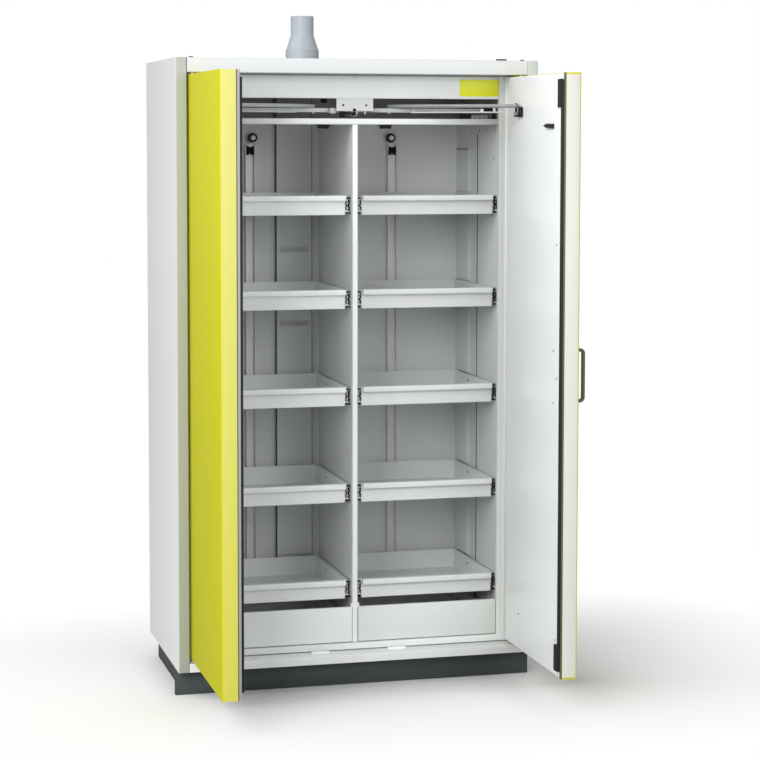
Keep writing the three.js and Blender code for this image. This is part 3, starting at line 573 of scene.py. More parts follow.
def edged_coat(name, base, pale_edge, fold_shade, roughness=0.5):
    """The doors' powder coat: deeper in large soft fields, with a painted highlight on the leaf's free edge
    that grows brighter towards the top, and painted shade that turns the folded flange inside it olive. The
    distances along Y and from the middle plane tell these faces apart."""
    recipe = Recipe(name)
    field = recipe.noise(600, 2.0)
    grain = recipe.noise(sizes().peel, 2.0)
    speck = recipe.noise(sizes().peel * 5, 3.0, 0.6)
    deep = (base[0] * 0.94, base[1] * 0.965, base[2] * 0.9)
    pale = (min(1, base[0] * 1.03), min(1, base[1] * 1.03), base[2] * 1.1)
    tone = recipe.blend(field * 0.75 + speck * 0.25, deep, pale)
    depth, reach = recipe.coordinate("Y"), abs(recipe.coordinate("X"))
    # painted highlight on the free edge, brighter towards the top
    edge = (depth < (SKIN.y0 + 0.1) * MM) * (0.38 + recipe.coordinate("Z") * 0.31)
    # painted shade on the fold inside the free edge
    flange = (reach < (SKIN.x0 + 2.5) * MM) * (depth < (SKIN.y0 + 19) * MM)
    tone = recipe.blend(flange, recipe.blend(edge, tone, pale_edge), fold_shade)
    gloss = roughness - 0.04 + field * 0.07
    return recipe.surface(base_color=tone, roughness=gloss, specular_ior_level=0.22,
                          normal=recipe.bump(grain, PEEL_RELIEF, 0.5))


def zinc_nodes(recipe, base):
    """Colour, roughness and relief of a zinc coat: pale crystals over a fine rolled grain."""
    crystal = recipe.cells(sizes().spangle)
    rolled = recipe.noise(1.2, 2.0, vector=recipe.stretched((1, 0.08, 1)))
    cloud = recipe.noise(60, 3.0)
    tone = recipe.blend(crystal * 0.35 + rolled * 0.35 + cloud * 0.3, shade(base, 0.82), shade(base, 1.12))
    return tone, 0.3 + crystal * 0.1 + rolled * 0.14, rolled


def zinc_coat(name, base, metallic=0.6, level=None):
    """Zinc-coated steel, or with a level a coat whose tone follows it, as painted light and shade."""
    recipe = Recipe(name)
    tone, gloss, relief = zinc_nodes(recipe, base)
    if level:
        tone = recipe.toned(base, level(recipe) + (relief - 0.5) * 0.2)
    return recipe.surface(
        base_color=tone, roughness=gloss, metallic=metallic, normal=recipe.bump(relief, 0.02, 0.4))


def railed_coat(name, base, zinc, wall, inwards):
    """Powder-coated wall whose slide rails are zinc: the rails stand clear of the wall's face, towards
    the middle plane or away from it, so the distance from that plane tells them apart."""
    recipe = Recipe(name)
    reach, clear = abs(recipe.coordinate("X")), 0.3
    rail = reach < (wall - clear) * MM if inwards else reach > (wall + clear) * MM
    cloud = recipe.noise(CLOUD_SIZE, 3.0)
    grain = recipe.noise(sizes().peel, 2.0)
    coat = recipe.blend(cloud, shade(base, 0.97), shade(base, 1.02))
    # painted shade: above the cross rail the wall is darkened for the shade behind the header
    coat = recipe.blend(recipe.coordinate("Z") > CROSS_RAIL.z1 * MM, coat, shade(base, PAINTED_SHADE_LEVEL))
    tone, gloss, relief = zinc_nodes(recipe, zinc)
    coat_gloss = 0.42 + cloud * 0.06
    return recipe.surface(
        base_color=recipe.blend(rail, coat, tone),
        roughness=coat_gloss + rail * (gloss - coat_gloss),
        metallic=rail * 0.5,
        normal=recipe.bump(grain + rail * (relief - grain), PEEL_RELIEF, 0.4),
    )


def moulded(name, base, roughness, grain_size=0.8, relief=0.04, gleam=0.5, foot=None):
    """Moulded plastic or rubber: an even tone with a fine eroded skin and faint flow clouds, a little
    darker below the height of its foot."""
    recipe = Recipe(name)
    skin = recipe.noise(grain_size, 3.0, 0.65)
    flow = recipe.noise(40, 2.0)
    tone = recipe.blend(flow * 0.6 + skin * 0.4, shade(base, 0.88), shade(base, 1.14))
    if foot:
        tone = recipe.blend(recipe.coordinate("Z") < foot * MM, tone, shade(base, 0.88))
    gloss = roughness - 0.06 + skin * 0.1 + flow * 0.04
    return recipe.surface(base_color=tone, roughness=gloss, specular_ior_level=gleam,
                          normal=recipe.bump(skin, relief, 0.6))


def laminate(name, base):
    """Melamine-faced board: a matt pearl grain, drawn out along the board."""
    recipe = Recipe(name)
    pearl = recipe.noise(1.1, 3.0, 0.6)
    drawn = recipe.noise(9, 4.0, 0.6, vector=recipe.stretched((0.12, 0.12, 1)))
    tone = recipe.blend(drawn * 0.6 + pearl * 0.4, shade(base, 0.84), shade(base, 1.18))
    return recipe.surface(
        base_color=tone, roughness=0.46 + pearl * 0.14, normal=recipe.bump(pearl, 0.05, 0.5))


def fibre_board(name, base):
    """Pressed mineral board: pale, dusty and flecked with fibres."""
    recipe = Recipe(name)
    fleck = recipe.noise(2.5, 4.0, 0.7, vector=recipe.stretched((1, 0.3, 0.3)))
    lump = recipe.noise(14, 3.0)
    tone = recipe.blend(fleck * 0.6 + lump * 0.4, shade(base, 0.8), shade(base, 1.12))
    return recipe.surface(
        base_color=tone, roughness=0.86 + fleck * 0.1, normal=recipe.bump(fleck, 0.4, 0.7))


def notice_coat(name, base):
    """Bare coated plate: an even colour, faintly rubbed in soft patches."""
    recipe = Recipe(name)
    rub = recipe.noise(18, 3.0)
    tone = recipe.blend(rub, shade(base, 0.96), shade(base, 1.03))
    return recipe.surface(
        base_color=tone, roughness=0.34 + rub * 0.08, normal=recipe.bump(rub, 0.05, 0.2))


def make_finishes():
    """Every finish of the cabinet, by its plain name."""
    hues = bpy.context.scene.cabinet_colours
    return {
        # casing: painted light, brighter low down and darker towards the top, and painted shade in the tones
        # of the front faces
        "casing": powder_coat(
            "casing_lacquer", hues.casing, 0.4, 0.02, (hues.front, hues.left_stile, hues.right_stile),
            level=sloped("Z", 1.19, -0.14)),
        "door": edged_coat("door_lacquer", hues.door, hues.pale_edge, hues.flange),
        "lining": powder_coat("white_lacquer", hues.lining, 0.3, 0.015),
        "nose": powder_coat("nose_lacquer", shade(hues.lining, 0.93), 0.3, 0.015),
        # painted light: the edge panel brighter low down and darker towards the top
        "trim": powder_coat("trim_lacquer", hues.trim, 0.4, level=sloped("Z", 1.14, -0.1)),
        # painted shade: the guide rail darker towards both ends
        "gear": zinc_coat("gear_steel", hues.gear, 0.25, domed(0.9, 1.6)),
        # painted shade: the right arm darker than the left, more so the higher it stands
        "arm": zinc_coat("arm_steel", hues.arm, 0.25, stacked(1.0, 0.8, 0.08)),
        "rod": zinc_coat("rod_steel", shade(hues.channel, 0.62), 0.1),
        "plate": powder_coat("plate_lacquer", shade(hues.tray, 0.75), 0.4),
        # painted shade: the cross rail darker towards both ends
        "rail": powder_coat("rail_lacquer", hues.tray, 0.38, 0.02, level=domed(1.02, 2.4)),
        # painted light: the bottom rail brighter on the left and darker on the right
        "foot": powder_coat("foot_lacquer", hues.frame, 0.42, 0.02, level=sloped("X", 1.18, -0.38)),
        "cover": powder_coat("cover_lacquer", hues.cover, 0.4),
        "dull_black": moulded("dull_black_plastic", shade(hues.black, 0.7), 0.6, gleam=0.12),
        # dark strips that stand for shadow in gaps: painted shade
        "duct_gasket": moulded("duct_gasket", shade(hues.gasket, 0.35), 0.7, 1.2, 0.1),
        "gasket": moulded("frame_gasket", hues.gasket, 0.7, 1.2, 0.1),
        "channel": zinc_coat("channel_zinc", hues.channel, 0.1),
        # painted light: the front frame brighter low down and darker towards the top
        "frame": powder_coat("frame_lacquer", hues.frame, 0.42, 0.02, level=sloped("Z", 1.2, -0.18)),
        # rear wall darkened above the cross rail: painted shade
        "rear": powder_coat("rear_lacquer", hues.rear, 0.46, painted_shade_from=CROSS_RAIL.z1),
        "interior": powder_coat("interior_lacquer", hues.interior, 0.44),
        "wall": railed_coat("interior_lacquer_with_rails", hues.interior, hues.zinc, WALL_X, True),
        "partition": railed_coat(
            "white_lacquer_with_rails", hues.partition, hues.zinc, PARTITION_HALF, False),
        # painted light: the left trays evenly brighter, the right trays darker the higher they stand
        "tray": powder_coat("tray_lacquer", hues.tray, 0.38, 0.02, level=stacked(1.16, 1.03, 0.07)),
        "plinth": laminate("plinth_laminate", hues.plinth),
        "board": fibre_board("insulation_board", hues.board),
        "zinc": zinc_coat("zinc_coat", hues.zinc),
        "socket": moulded("socket_plastic", hues.socket, 0.42, 1.5, 0.05, foot=CASING.z1 + 44),
        "seal": moulded("black_seal", hues.seal, 0.72, 1.2, 0.1),
        "black": moulded("black_plastic", hues.black, 0.45, gleam=0.35),
        "strip": moulded("grey_plastic", hues.strip, 0.5),
        "handle": moulded("handle_plastic", hues.handle, 0.36),
        "notice": notice_coat("notice_plate", hues.notice),
    }


FINISHES = {}
NODE_FINISHES = {
    "casing": ["roof_casing", "base_plate"],
    "board": ["insulation_left", "insulation_right", "insulation_rear", "insulation_roof", "insulation_floor",
              "left_door_core", "right_door_core"],
    "wall": ["side_lining_left", "side_lining_right"],
    "interior": ["floor_lining"],
    "rear": ["rear_lining", "roof_lining", "exhaust_duct"],
    "partition": ["centre_partition"],
    "plate": ["closer_bracket"],
    "gear": ["guide_rail"],
    "black": ["left_door_arm_bracket", "right_door_arm_bracket"],
    "channel": ["rear_channel_left", "rear_channel_right"],
    "zinc": ["left_door_hinge_rod", "right_door_hinge_rod"],
}


def finish(name):
    """A finish by its name. All of them are made at the first call."""
    if not FINISHES:
        FINISHES.update(make_finishes())
    return FINISHES[name]


# Pieces

def add_piece(name, part, finish_name, body="root", node=None):
    """Puts a shell into a mesh object that rides on a body and may stand for a CAD node: points in metres,
    corners and faces go in as whole arrays, faces are turned outwards, and soft edges are shaded smooth."""
    mesh = bpy.data.meshes.new(name)
    mesh.vertices.add(len(part.points))
    mesh.vertices.foreach_set("co", part.points.ravel() * MM)
    mesh.loops.add(len(part.corners))
    mesh.loops.foreach_set("vertex_index", part.corners.astype(np.int32))
    mesh.polygons.add(len(part.counts))
    starts = np.concatenate([[0], np.cumsum(part.counts)[:-1]])
    mesh.polygons.foreach_set("loop_start", starts.astype(np.int32))
    mesh.update(calc_edges=True)
    if mesh.validate():
        raise RuntimeError(f"the mesh of {name} has faulty faces")
    faces = bmesh.new()
    faces.from_mesh(mesh)
    bmesh.ops.recalc_face_normals(faces, faces=faces.faces)
    faces.to_mesh(mesh)
    faces.free()
    mesh.shade_smooth()
    mesh.set_sharp_from_angle(angle=SMOOTHING_ANGLE)
    mesh.materials.append(finish(finish_name))
    piece = bpy.data.objects.new(name, mesh)
    bpy.context.scene.collection.objects.link(piece)
    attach(piece, body)
    if node:
        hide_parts(node)


def add_pair(name, part, finish_name, body="root", node=""):
    """A piece made for the right-hand side and its mirror image. SIDE in a name becomes left or right."""
    for side_name, side in SIDES.items():
        piece, carrier, solid = (word.replace("SIDE", side_name) for word in (name, body, node))
        add_piece(piece, flipped(part, side), finish_name, carrier, solid)


def add_rail(name, path, x0, x1, finish_name, node):
    """A sheet folded along a path seen from the side and carried along X, in the place of a CAD node."""
    add_piece(name, folded(path, GAUGE, sizes().bend, "x", x0, x1), finish_name, node=node)


def returned(y0, y1, z0, z1):
    """Corners of a sheet that stands at y0 and turns back to y1 along its top and its foot."""
    return [(y1, z1), (y0, z1), (y0, z0), (y1, z0)]


def dress_nodes():
    """Gives the CAD nodes that stay in sight their finishes."""
    for finish_name, nodes in NODE_FINISHES.items():
        for node in nodes:
            materials = frame["nodes"][node].data.materials
            materials.clear()
            materials.append(finish(finish_name))


# Casing, front frame, plinth and roof

def add_casing():
    """Side casings, fascia and bottom rail as folded sheets."""
    niche_y, inset = FASCIA.y1, 1
    wrap = [(CASING.x0, niche_y), (CASING.x0, CASING.y0), (CASING.x1, CASING.y0), (CASING.x1, CASING.y1)]
    add_pair("side_casing_SIDE_sheet", folded(wrap, GAUGE, sizes().bend, "z", CASING.z0, CASING.z1),
             "casing", node="side_casing_SIDE")
    add_rail("top_fascia_sheet", returned(FASCIA.y0, niche_y, FASCIA.z0, FASCIA.z1),
             FASCIA.x0 + inset, FASCIA.x1 - inset, "casing", "top_fascia")
    rail = BOTTOM_RAIL
    foot = [(niche_y, rail.z0), (niche_y, rail.z1), (rail.y0, rail.z1), (rail.y0, rail.z0)]
    add_rail("bottom_rail_sheet", foot, rail.x0, rail.x1, "foot", "bottom_rail")


def add_rear_sheet():
    """Rear sheet with a strip over its seam, and the rivets along its edges, the seam and the roof."""
    back, gauge, seam_z = box("rear_casing"), 0.8, 1080
    margin, strip_half, sunk = 2, 18, 0.1
    face_y = back.y0 + gauge
    sheet = block((back.x0, back.x1), (back.y0, face_y), (back.z0, back.z1), "y", 1, 0.2)
    strip = block((back.x0 + margin, back.x1 - margin), (face_y - sunk, back.y1 - sunk),
                  (seam_z - strip_half, seam_z + strip_half), "y", 2, 0.3)
    add_piece("rear_casing_sheet", joined(sheet, strip), "casing", node="rear_casing")
    rivet = [(4, 0), (3.6, 0.45), (2, 0.65), (0.3, 0.68)]
    rear_places = [(x, 0, z) for x in range(-560, 561, 160) for z in (110, 2030)]
    rear_places += [(x, 0, z) for x in (-580, 580) for z in range(270, 2000, 270)]
    rear_places += [(x, 0, seam_z + lift) for x in range(-520, 521, 208) for lift in (-10, 10)]
    roof_places = [(x, y, 0) for x in (-582, 582) for y in range(-200, 281, 120)]
    roof_places += [(x, 288, 0) for x in range(-480, 481, 160)]
    rivets = joined(copies(turned(rivet, (0, face_y, 0), "y", 20), rear_places),
                    copies(turned(rivet, (0, 0, CASING.z1), "z", 20), roof_places))
    add_piece("casing_rivets", rivets, "zinc")


def add_front_frame():
    """Frame sheet behind the doors, turned into its doorway: along the bend the opening grows by the bend's
    outer radius times one minus the sine, and its depth by one minus the cosine."""
    bend, corner = sizes().bend, 2
    front, back, sill, lintel = FRAME.y0, FRAME.y0 + GAUGE, DRAWER.z0 - 3.5, HEADER.z1 + 0.3
    turn = bend + GAUGE

    def ring(out, depth):
        """A row that stands outside the doorway by a distance, at a depth."""
        return JAMB_X + out, sill - out, lintel + out, corner, depth

    rows = [(FRAME.x1, FRAME.z0, FRAME.z1, 1, depth) for depth in (back, front)]
    rows += [ring(turn * (1 - math.sin(a)), front + turn * (1 - math.cos(a)))
             for a in np.linspace(0, math.pi / 2, 4)]
    rows += [ring(0, FRAME.y1), ring(GAUGE, FRAME.y1), ring(GAUGE, back + bend), ring(turn, back)]
    add_piece("front_frame_sheet", framed(rows), "frame", node="front_frame")


def add_frame_fittings():
    """Thin seal round the frame, seals and covers beside the hinges, and the two blocks on the sill."""
    front, foot, top, proud = FRAME.y0, BOTTOM_RAIL.z1, FASCIA.z0, 1.2
    outer = (JAMB_X + 58, foot + 0.4, top - 0.4, 2)
    inner = (JAMB_X + 55, foot + 3.2, top - 3.4, 2)
    gasket = framed([(*outer, front), (*outer, front - proud), (*inner, front - proud), (*inner, front)])
    add_piece("front_frame_gasket", gasket, "gasket")
    hinge_seal = block((558.8, 563.2), (front - 17, front - 2), (foot + 1, top - 1), corner=1.2, edge=0.6)
    add_piece("hinge_side_seals", both_sides(hinge_seal), "seal")
    cover = block((506.5, 537), (front - 8, front - proud), (foot + 4, top - 4), corner=2, edge=0.6)
    add_piece("hinge_side_covers", both_sides(cover), "cover")
    rest = block((0, 60), (front - 29, front - 15), (foot, foot + 6.5), corner=1.5, edge=1)
    add_piece("sill_blocks", copies(rest, [(-155, 0, 0), (104, 0, 0)]), "lining")


def add_plinth():
    """Five laminated boards with eased edges."""
    board, edge, set_in = 18, 0.6, 28
    half, side_x, top = PLINTH.x1, PLINTH.x1 - set_in, PLINTH.z1
    front_y, rear_y = PLINTH.y0, PLINTH.y1
    side_board = block((side_x - board, side_x), (front_y + board, rear_y), (0, top), "x", edge, edge)
    boards = joined(
        block((-half, half), (front_y, front_y + board), (0, top), "y", edge, edge),
        both_sides(side_board),
        block((board - side_x, side_x - board), (rear_y - board, rear_y), (0, top), "y", edge, edge),
        block((-board / 2, board / 2), (front_y + board, rear_y - board), (0, top), "x", edge, edge),
    )
    add_piece("plinth_boards", boards, "plinth", node="plinth")


def add_roof_parts():
    """Exhaust socket and reducer turned in one, and the caps near the front edge of the roof."""
    centre = ((REDUCER.x0 + REDUCER.x1) / 2, (REDUCER.y0 + REDUCER.y1) / 2, 0)
    roof, front, foot, top = CASING.z1, CASING.y0, REDUCER.z0, REDUCER.z1
    wide, shoulder, neck, pipe, wall = 56, 53, 45, 38.8, 3
    base = roof + 0.3
    collar = base + 43
    cone = collar + 5
    throat = cone + 42
    section = [
        (neck, foot), (neck, base), (wide - 1, base), (wide, base + 1), (wide, collar - 1),
        (wide - 0.6, collar), (shoulder, cone), (shoulder - 0.6, cone + 1), (pipe + 1.2, throat - 2),
        (pipe + 0.2, throat), (pipe, throat + 3), (pipe, top - 1), (pipe - 1, top),
        (pipe - wall + 0.8, top), (pipe - wall, top - 0.8), (pipe - wall, throat), (neck - wall, cone),
        (neck - wall, foot),
    ]
    add_piece("duct_reducer_moulding", turned(section, centre, "z", 96, loop=True), "socket",
              node="duct_reducer")
    dome = np.array([(1, 0), (1, 0.25), (0.85, 0.5), (0.5, 0.62), (0.1, 0.66)]) * [7.5, 5]
    caps = copies(turned(dome, ORIGIN, "z", 24), [(x, front + 10, roof) for x in (-548, 546.5)])
    plate = block((459, 493), (front + 4, front + 18), (roof, roof + 4.5), corner=3, edge=1)
    add_piece("roof_caps", joined(caps, plate), "black")


# Interior

def add_header():
    """Header sheet with its screw and the bare notice plate, and the cross rail over the trays."""
    size, reach = sizes(), JAMB_X - 0.3
    add_rail("header_sheet", returned(HEADER.y0, HEADER.y1, HEADER.z0 + 1.7, HEADER.z1), -reach, reach,
             "interior", "header_panel")
    add_piece("header_screw", moved(screw_head("y", -1, 2.6), (0, HEADER.y0, 1992)), "zinc")
    add_rail("cross_rail_sheet", returned(CROSS_RAIL.y0, CROSS_RAIL.y1, CROSS_RAIL.z0, RAIL_TOP),
             -reach, reach, "rail", "cross_rail")
    x1, z1 = JAMB_X - 0.5, 1989
    plate = block((x1 - size.notice_width, x1), (HEADER.y0 - 0.9, HEADER.y0), (z1 - size.notice_height, z1),
                  "y", 3, 0.3)
    add_piece("notice_plate", plate, "notice")


def add_supply_ducts():
    """Shallow ducts on the side walls, interrupted at each slide rail, and dark strips that stand for the
    shadow in a gap on each wall and under each duct's top edge: painted shade.
    """
    depth, slope, front, rear, top, clearance = 7, 22, 105, 240, 1760, 4
    face_x = WALL_X - depth
    outline = rounded([(WALL_X, front - slope), (WALL_X, rear + slope), (face_x, rear), (face_x, front)],
                      [0, 0, 3, 3])
    cuts = [LINING.z0 + 2, top]
    for low in [DRAWER.z0] + [tray.z0 for tray in TRAYS.values()]:
        cuts += [low + SLIDE_LIFT - clearance, low + SLIDE_LIFT + SLIDE_HEIGHT + clearance]
    duct = joined(*(slab(outline, "z", low, high, 1) for low, high in np.sort(cuts).reshape(-1, 2)))
    add_pair("supply_duct_SIDE", duct, "interior")
    # dark strips standing for the shadow in the gap on the wall and under the duct's top: painted shade
    wall_slot = block((WALL_X - 0.2, WALL_X + 0.9), (7, 16.5), (166, 1812), "x", 2.5, 0.2)
    rim = block((face_x - 0.4, face_x + 2), (front, rear), (top - 2.5, top + 1), "x", 1, 0.3)
    add_piece("slot_gaskets", both_sides(joined(wall_slot, rim)), "duct_gasket")


def add_rear_wall_strips():
    """Pale cover of the slot in the rear wall, and dark strips down both edges of the exhaust duct that stand
    for the shadow along them: painted shade.
    """
    slot = block((-174.6, -168.2), (REAR_LINING.y0 + 0.1, REAR_LINING.y0 + 1), (142, 1996), "y", 1, 0.2)
    add_piece("rear_slot_cover", slot, "rear")
    # dark strips standing for the shadow along the duct's edges: painted shade
    seals = [block(x, (DUCT.y0 - 0.5, DUCT.y0 + 0.2), (DUCT.z0 + 1, DUCT.z1 - 1), "y", 0.4, 0.2)
             for x in ((DUCT.x0, DUCT.x0 + 6), (DUCT.x1 - 1.8, DUCT.x1))]
    add_piece("duct_edge_gaskets", joined(*seals), "duct_gasket")


def add_small_parts():
    """Plugs in the side walls, the trim on the partition's front edge, and the clips under the cross rail."""
    plug = turned([(3.2, 0), (3.2, -0.4), (2.4, -0.5), (0.3, -0.3)], ORIGIN, "x", 16)
    places = [(WALL_X, y, z) for y, z in ((82, 1822), (-9, 1822), (-100, 1822), (-190, 1822), (-166, 1729))]
    add_piece("lining_plugs", both_sides(copies(plug, places)), "black")

    half, front, wrap = PARTITION_HALF + 0.3, PARTITION.y0 - 0.3, 14
    around = [(-half, front + wrap), (-half, front), (half, front), (half, front + wrap)]
    nose = folded(around, 0.28, 1.4, "z", PARTITION.z0, PARTITION.z1)
    tab = slab(rounded(rectangle(PARTITION_HALF - 1, 14.5, 254, 271), [0, 5, 5, 0]), "y",
               PARTITION.y0, PARTITION.y0 + 2, 0.5)
    add_piece("partition_nose", joined(nose, both_sides(tab)), "nose")

    front, foot = CROSS_RAIL.y0, CROSS_RAIL.z0
    clip = joined(
        block((80, 128), (front + 4, front + 20), (foot - 4, foot), "y", 1.5, 1),
        block((86, 122), (front + 2, front + 18), (foot - 13, foot - 3.5), "y", 3, 1.2),
        turned([(3.2, 0), (3.2, -1), (1.2, -1.4), (0.3, -0.6)], (97, front + 2, foot - 7.5), "y", 16),
    )
    add_piece("cross_rail_clips", both_sides(clip), "dull_black")


# Closing gear

def add_closing_arms():
    """Closing arms: a tapered bar with its boss, and under it a thin stay on two posts, and the roller.
    The stay and its posts stand at shares of the way from the pin to the tip."""
    pin, tip = np.array([492, -402]), np.array([127.1, -180])
    bottom, drop, wide, narrow = ARM.z1 - 11.5, 14.5, 8.5, 6
    reach = tip - pin
    span = np.linalg.norm(reach)
    along = reach / span
    across = np.array([-along[1], along[0]])
    outline = rounded([(-wide, -wide), (span + narrow, -narrow), (span + narrow, narrow), (-wide, wide)],
                      [8, 5.5, 5.5, 8], steps=8)
    bar = slab(pin + outline[:, :1] * along + outline[:, 1:] * across, "z", bottom, ARM.z1, 1.2)
    boss = turned([(8, 0), (8, 9), (7, 10), (4.6, 10), (4.6, 0)], (*pin, ARM.z0), "z", 32, loop=True)
    add_pair("closing_arm_SIDE_bar", joined(bar, boss), "arm", "SIDE_arm",
             "closing_arm_SIDE")

    angles = np.linspace(0, 2 * math.pi, 12, endpoint=False)
    circle = np.stack([np.cos(angles), np.sin(angles)], axis=-1) * 2.4
    stay_points = pin + reach * np.array([[0.1], [0.45], [0.82]])
    stay = swept(np.column_stack([stay_points, np.full(3, bottom - drop)]), circle, (0, 0, 1))
    posts = [turned([(1.6, -drop), (1.6, 1), (0.3, 1), (0.3, -drop)], (*spot, bottom), "z", 16)
             for spot in pin + reach * np.array([[0.12], [0.8]])]
    foot = ARM.z0 + 6
    roller = turned([(4, foot), (4, bottom + 1), (1, bottom + 1), (1, foot)], (*tip, 0), "z", 32, loop=True)
    add_pair("closing_arm_SIDE_stay", joined(stay, *posts, roller), "rod", "SIDE_arm")


def add_closer_latch():
    """Latch under the bracket plate: black screws, pivot, pawl, latch block and spring, and pale bosses."""
    front, foot, rail_y = HANGER.y0, HANGER.z0, GUIDE_RAIL.y0
    heads = copies(screw_head("y", -1, 3.6), [(x, front + 1.4, 1904) for x in (-39.5, 37.5)])
    pivot = turned([(5, 0), (5, -3), (4, -4.2), (1.6, -4.6), (0.3, -3.4)], (-1.5, front, 1888), "y", 24)
    pawl = block((-7, 3.5), (front - 1, front + 8), (1869, 1882), "y", 3, 1)
    latch = block((-48.5, -33.5), (front - 1, front + 14), (1864, foot), "y", 2, 1)
    zigzag = [(-33, 1881), (-29, 1868), (-24, 1881), (-19, 1868), (-14, 1881), (-9, 1870)]
    spring = folded(zigzag, 2.2, 0.4, "y", front + 2, front + 8, 2)
    add_piece("closer_latch", joined(heads, pivot, pawl, latch, spring), "dull_black")

    outline = [(-15, 1888), (-15, 1880), (-9, 1869), (-4, 1866.5), (3, 1866.5), (9, 1870), (13, 1880),
               (13, 1888)]
    shield = slab(rounded(outline, 2), "y", front + 9, front + 12, 0.6)
    stud = turned([(3.4, 0), (3.4, -4), (2.4, -5), (0.3, -5)], (35.4, front + 8, 1877), "y", 16)
    neck = block((33.4, 37.4), (front + 2, front + 8), (1876, foot + 1), "y", 0.8, 0.5)
    top = 1894.8
    bosses = [block(x, (front + 12, rail_y + 0.5), (low, top), "y", 5, 2)
              for x, low in (((-79, -58), 1876), ((56, 72), 1881))]
    add_piece("closer_bosses", joined(shield, stud, neck, *bosses), "gear")


def add_guide_rail_parts():
    """Lower lip of the guide rail, the black stops and pale pads at its right end, the block that hangs from
    the roof behind it, and the shoe with its screws."""
    front, back, foot = GUIDE_RAIL.y0, GUIDE_RAIL.y1, RAIL_TOP
    bottom = GUIDE_RAIL.z0
    lip = block((-480, 480), (front + 1.5, front + 3.5), (bottom - 3, bottom + 1), "x", 0.5, 0.5)
    add_piece("guide_rail_lip", lip, "rod")
    near, far = front - 14, front + 0.3
    stops = [block(x, (near, far), z, "y", 2, 1)
             for x, z in (((446, 477), (1882, 1897)), ((368, 402), (foot, 1877)), ((479, 487), (foot, 1878)))]
    hung = block((-98, -80), (back - 2.5, back + 12), (1911, 1928), "y", 2, 1)
    post = block((-93, -85), (back + 0.5, back + 9), (1927, HEADER.z1), "y", 1, 0.5)
    add_piece("guide_rail_stops", joined(*stops, hung, post), "dull_black")
    pads = [block(x, (near - 1, far), z, "y", 2.5, 1.5)
            for x, z in (((477.5, 486.5), (1884.5, 1897)), ((435.5, 444.5), (1883.5, 1894)))]
    add_piece("guide_rail_pads", joined(*pads), "lining")
    shoe = block((403, 459), (near, far), (foot, 1872.5), "y", 3, 1.5)
    add_piece("guide_rail_shoe", shoe, "arm")
    screws = copies(screw_head("y", -1, 2.6), [(x, near, 1867) for x in (414, 431, 448)])
    add_piece("guide_rail_shoe_screws", screws, "black")


def add_rear_gear():
    """Pulleys with a pale axle cap, and the clamps and caps on the rear channels. The floor of the pulley's
    groove follows half a sine wave."""
    centre = [(low + high) / 2 for low, high in zip(PULLEY[:3], PULLEY[3:])]
    radius, half = (PULLEY.z1 - PULLEY.z0) / 2, (PULLEY.y1 - PULLEY.y0) / 2
    bore, depth, rim = 4.4, 3, radius - 0.6
    groove = [(radius - depth * math.sin(math.pi * share), half * (1.6 * share - 0.8))
              for share in np.linspace(0, 1, 9)]
    section = [(bore, -half), (radius * 0.55, -half), (radius * 0.62, -half * 0.7),
               (radius * 0.86, -half * 0.7), (radius * 0.92, -half), (rim, -half), *groove, (rim, half),
               (bore, half)]
    add_pair("pulley_SIDE_wheel", turned(section, centre, "y", 64, loop=True), "black",
             "SIDE_pulley", "pulley_SIDE")
    cap = turned([(7.4, 0.2), (7.4, -0.4), (6.4, -1), (3, -1), (2.4, 0.1), (0.3, 0.1)],
                 (centre[0], CHANNEL.y0, centre[2]), "y", 32)
    add_pair("pulley_SIDE_axle_cap", cap, "channel")

    middle = (CHANNEL.x0 + CHANNEL.x1) / 2
    waist = np.array([(-12.5, -15), (-8.5, -15.5), (-3, -10.5), (3, -10.5), (8.5, -15.5), (12.5, -15),
                      (10.5, -5), (14, 0), (10.5, 5), (12.5, 15), (8.5, 15.5), (3, 10.5), (-3, 10.5),
                      (-8.5, 15.5), (-12.5, 15), (-10.5, 5), (-14, 0), (-10.5, -5)])
    clamp = slab(rounded(waist + [middle, 1754], 1.5), "y", 236, 252, 1.5)
    add_piece("channel_clamps", both_sides(copies(clamp, [ORIGIN, (0, 0, -206)])), "dull_black")
    cap = block((middle - 12.5, middle + 12.5), (241, 252), (1766, 1777), "y", 2, 1)
    add_piece("channel_caps", both_sides(cap), "channel")


# Trays, drawers and slides

def tray_shell(space, front_y, floor_z, rim_z, lip):
    """A folded tray: one sheet bent up from the floor into the back and the front, two side walls, and
    where asked a grip lip folded round a ledge. space is its left, right and rear face."""
    size = sizes()
    left, right, rear = space
    path = [(front_y, rim_z - (GAUGE if lip else 0)), (front_y, floor_z), (rear, floor_z), (rear, rim_z)]
    outline = rounded(rectangle(front_y, rear, floor_z, rim_z), GAUGE, steps=3)
    parts = [folded(path, GAUGE, size.tray_bend, "x", left + GAUGE, right - GAUGE)]
    parts += [slab(outline, "x", x, x + GAUGE, size.edge) for x in (left, right - GAUGE)]
    if lip:
        drop, out_y = rim_z - size.lip, front_y - size.lip_depth
        near, far = left + 1.2, right - 3.4
        ledge = [(front_y + GAUGE, rim_z), (out_y, rim_z), (out_y, drop), (front_y, drop)]
        end = rounded(rectangle(out_y, front_y, drop, rim_z), GAUGE, steps=3)
        parts.append(folded(ledge, GAUGE, size.tray_bend, "x", near + GAUGE, far - GAUGE))
        parts += [slab(end, "x", x, x + GAUGE, size.edge) for x in (near, far - GAUGE)]
    return joined(*parts)


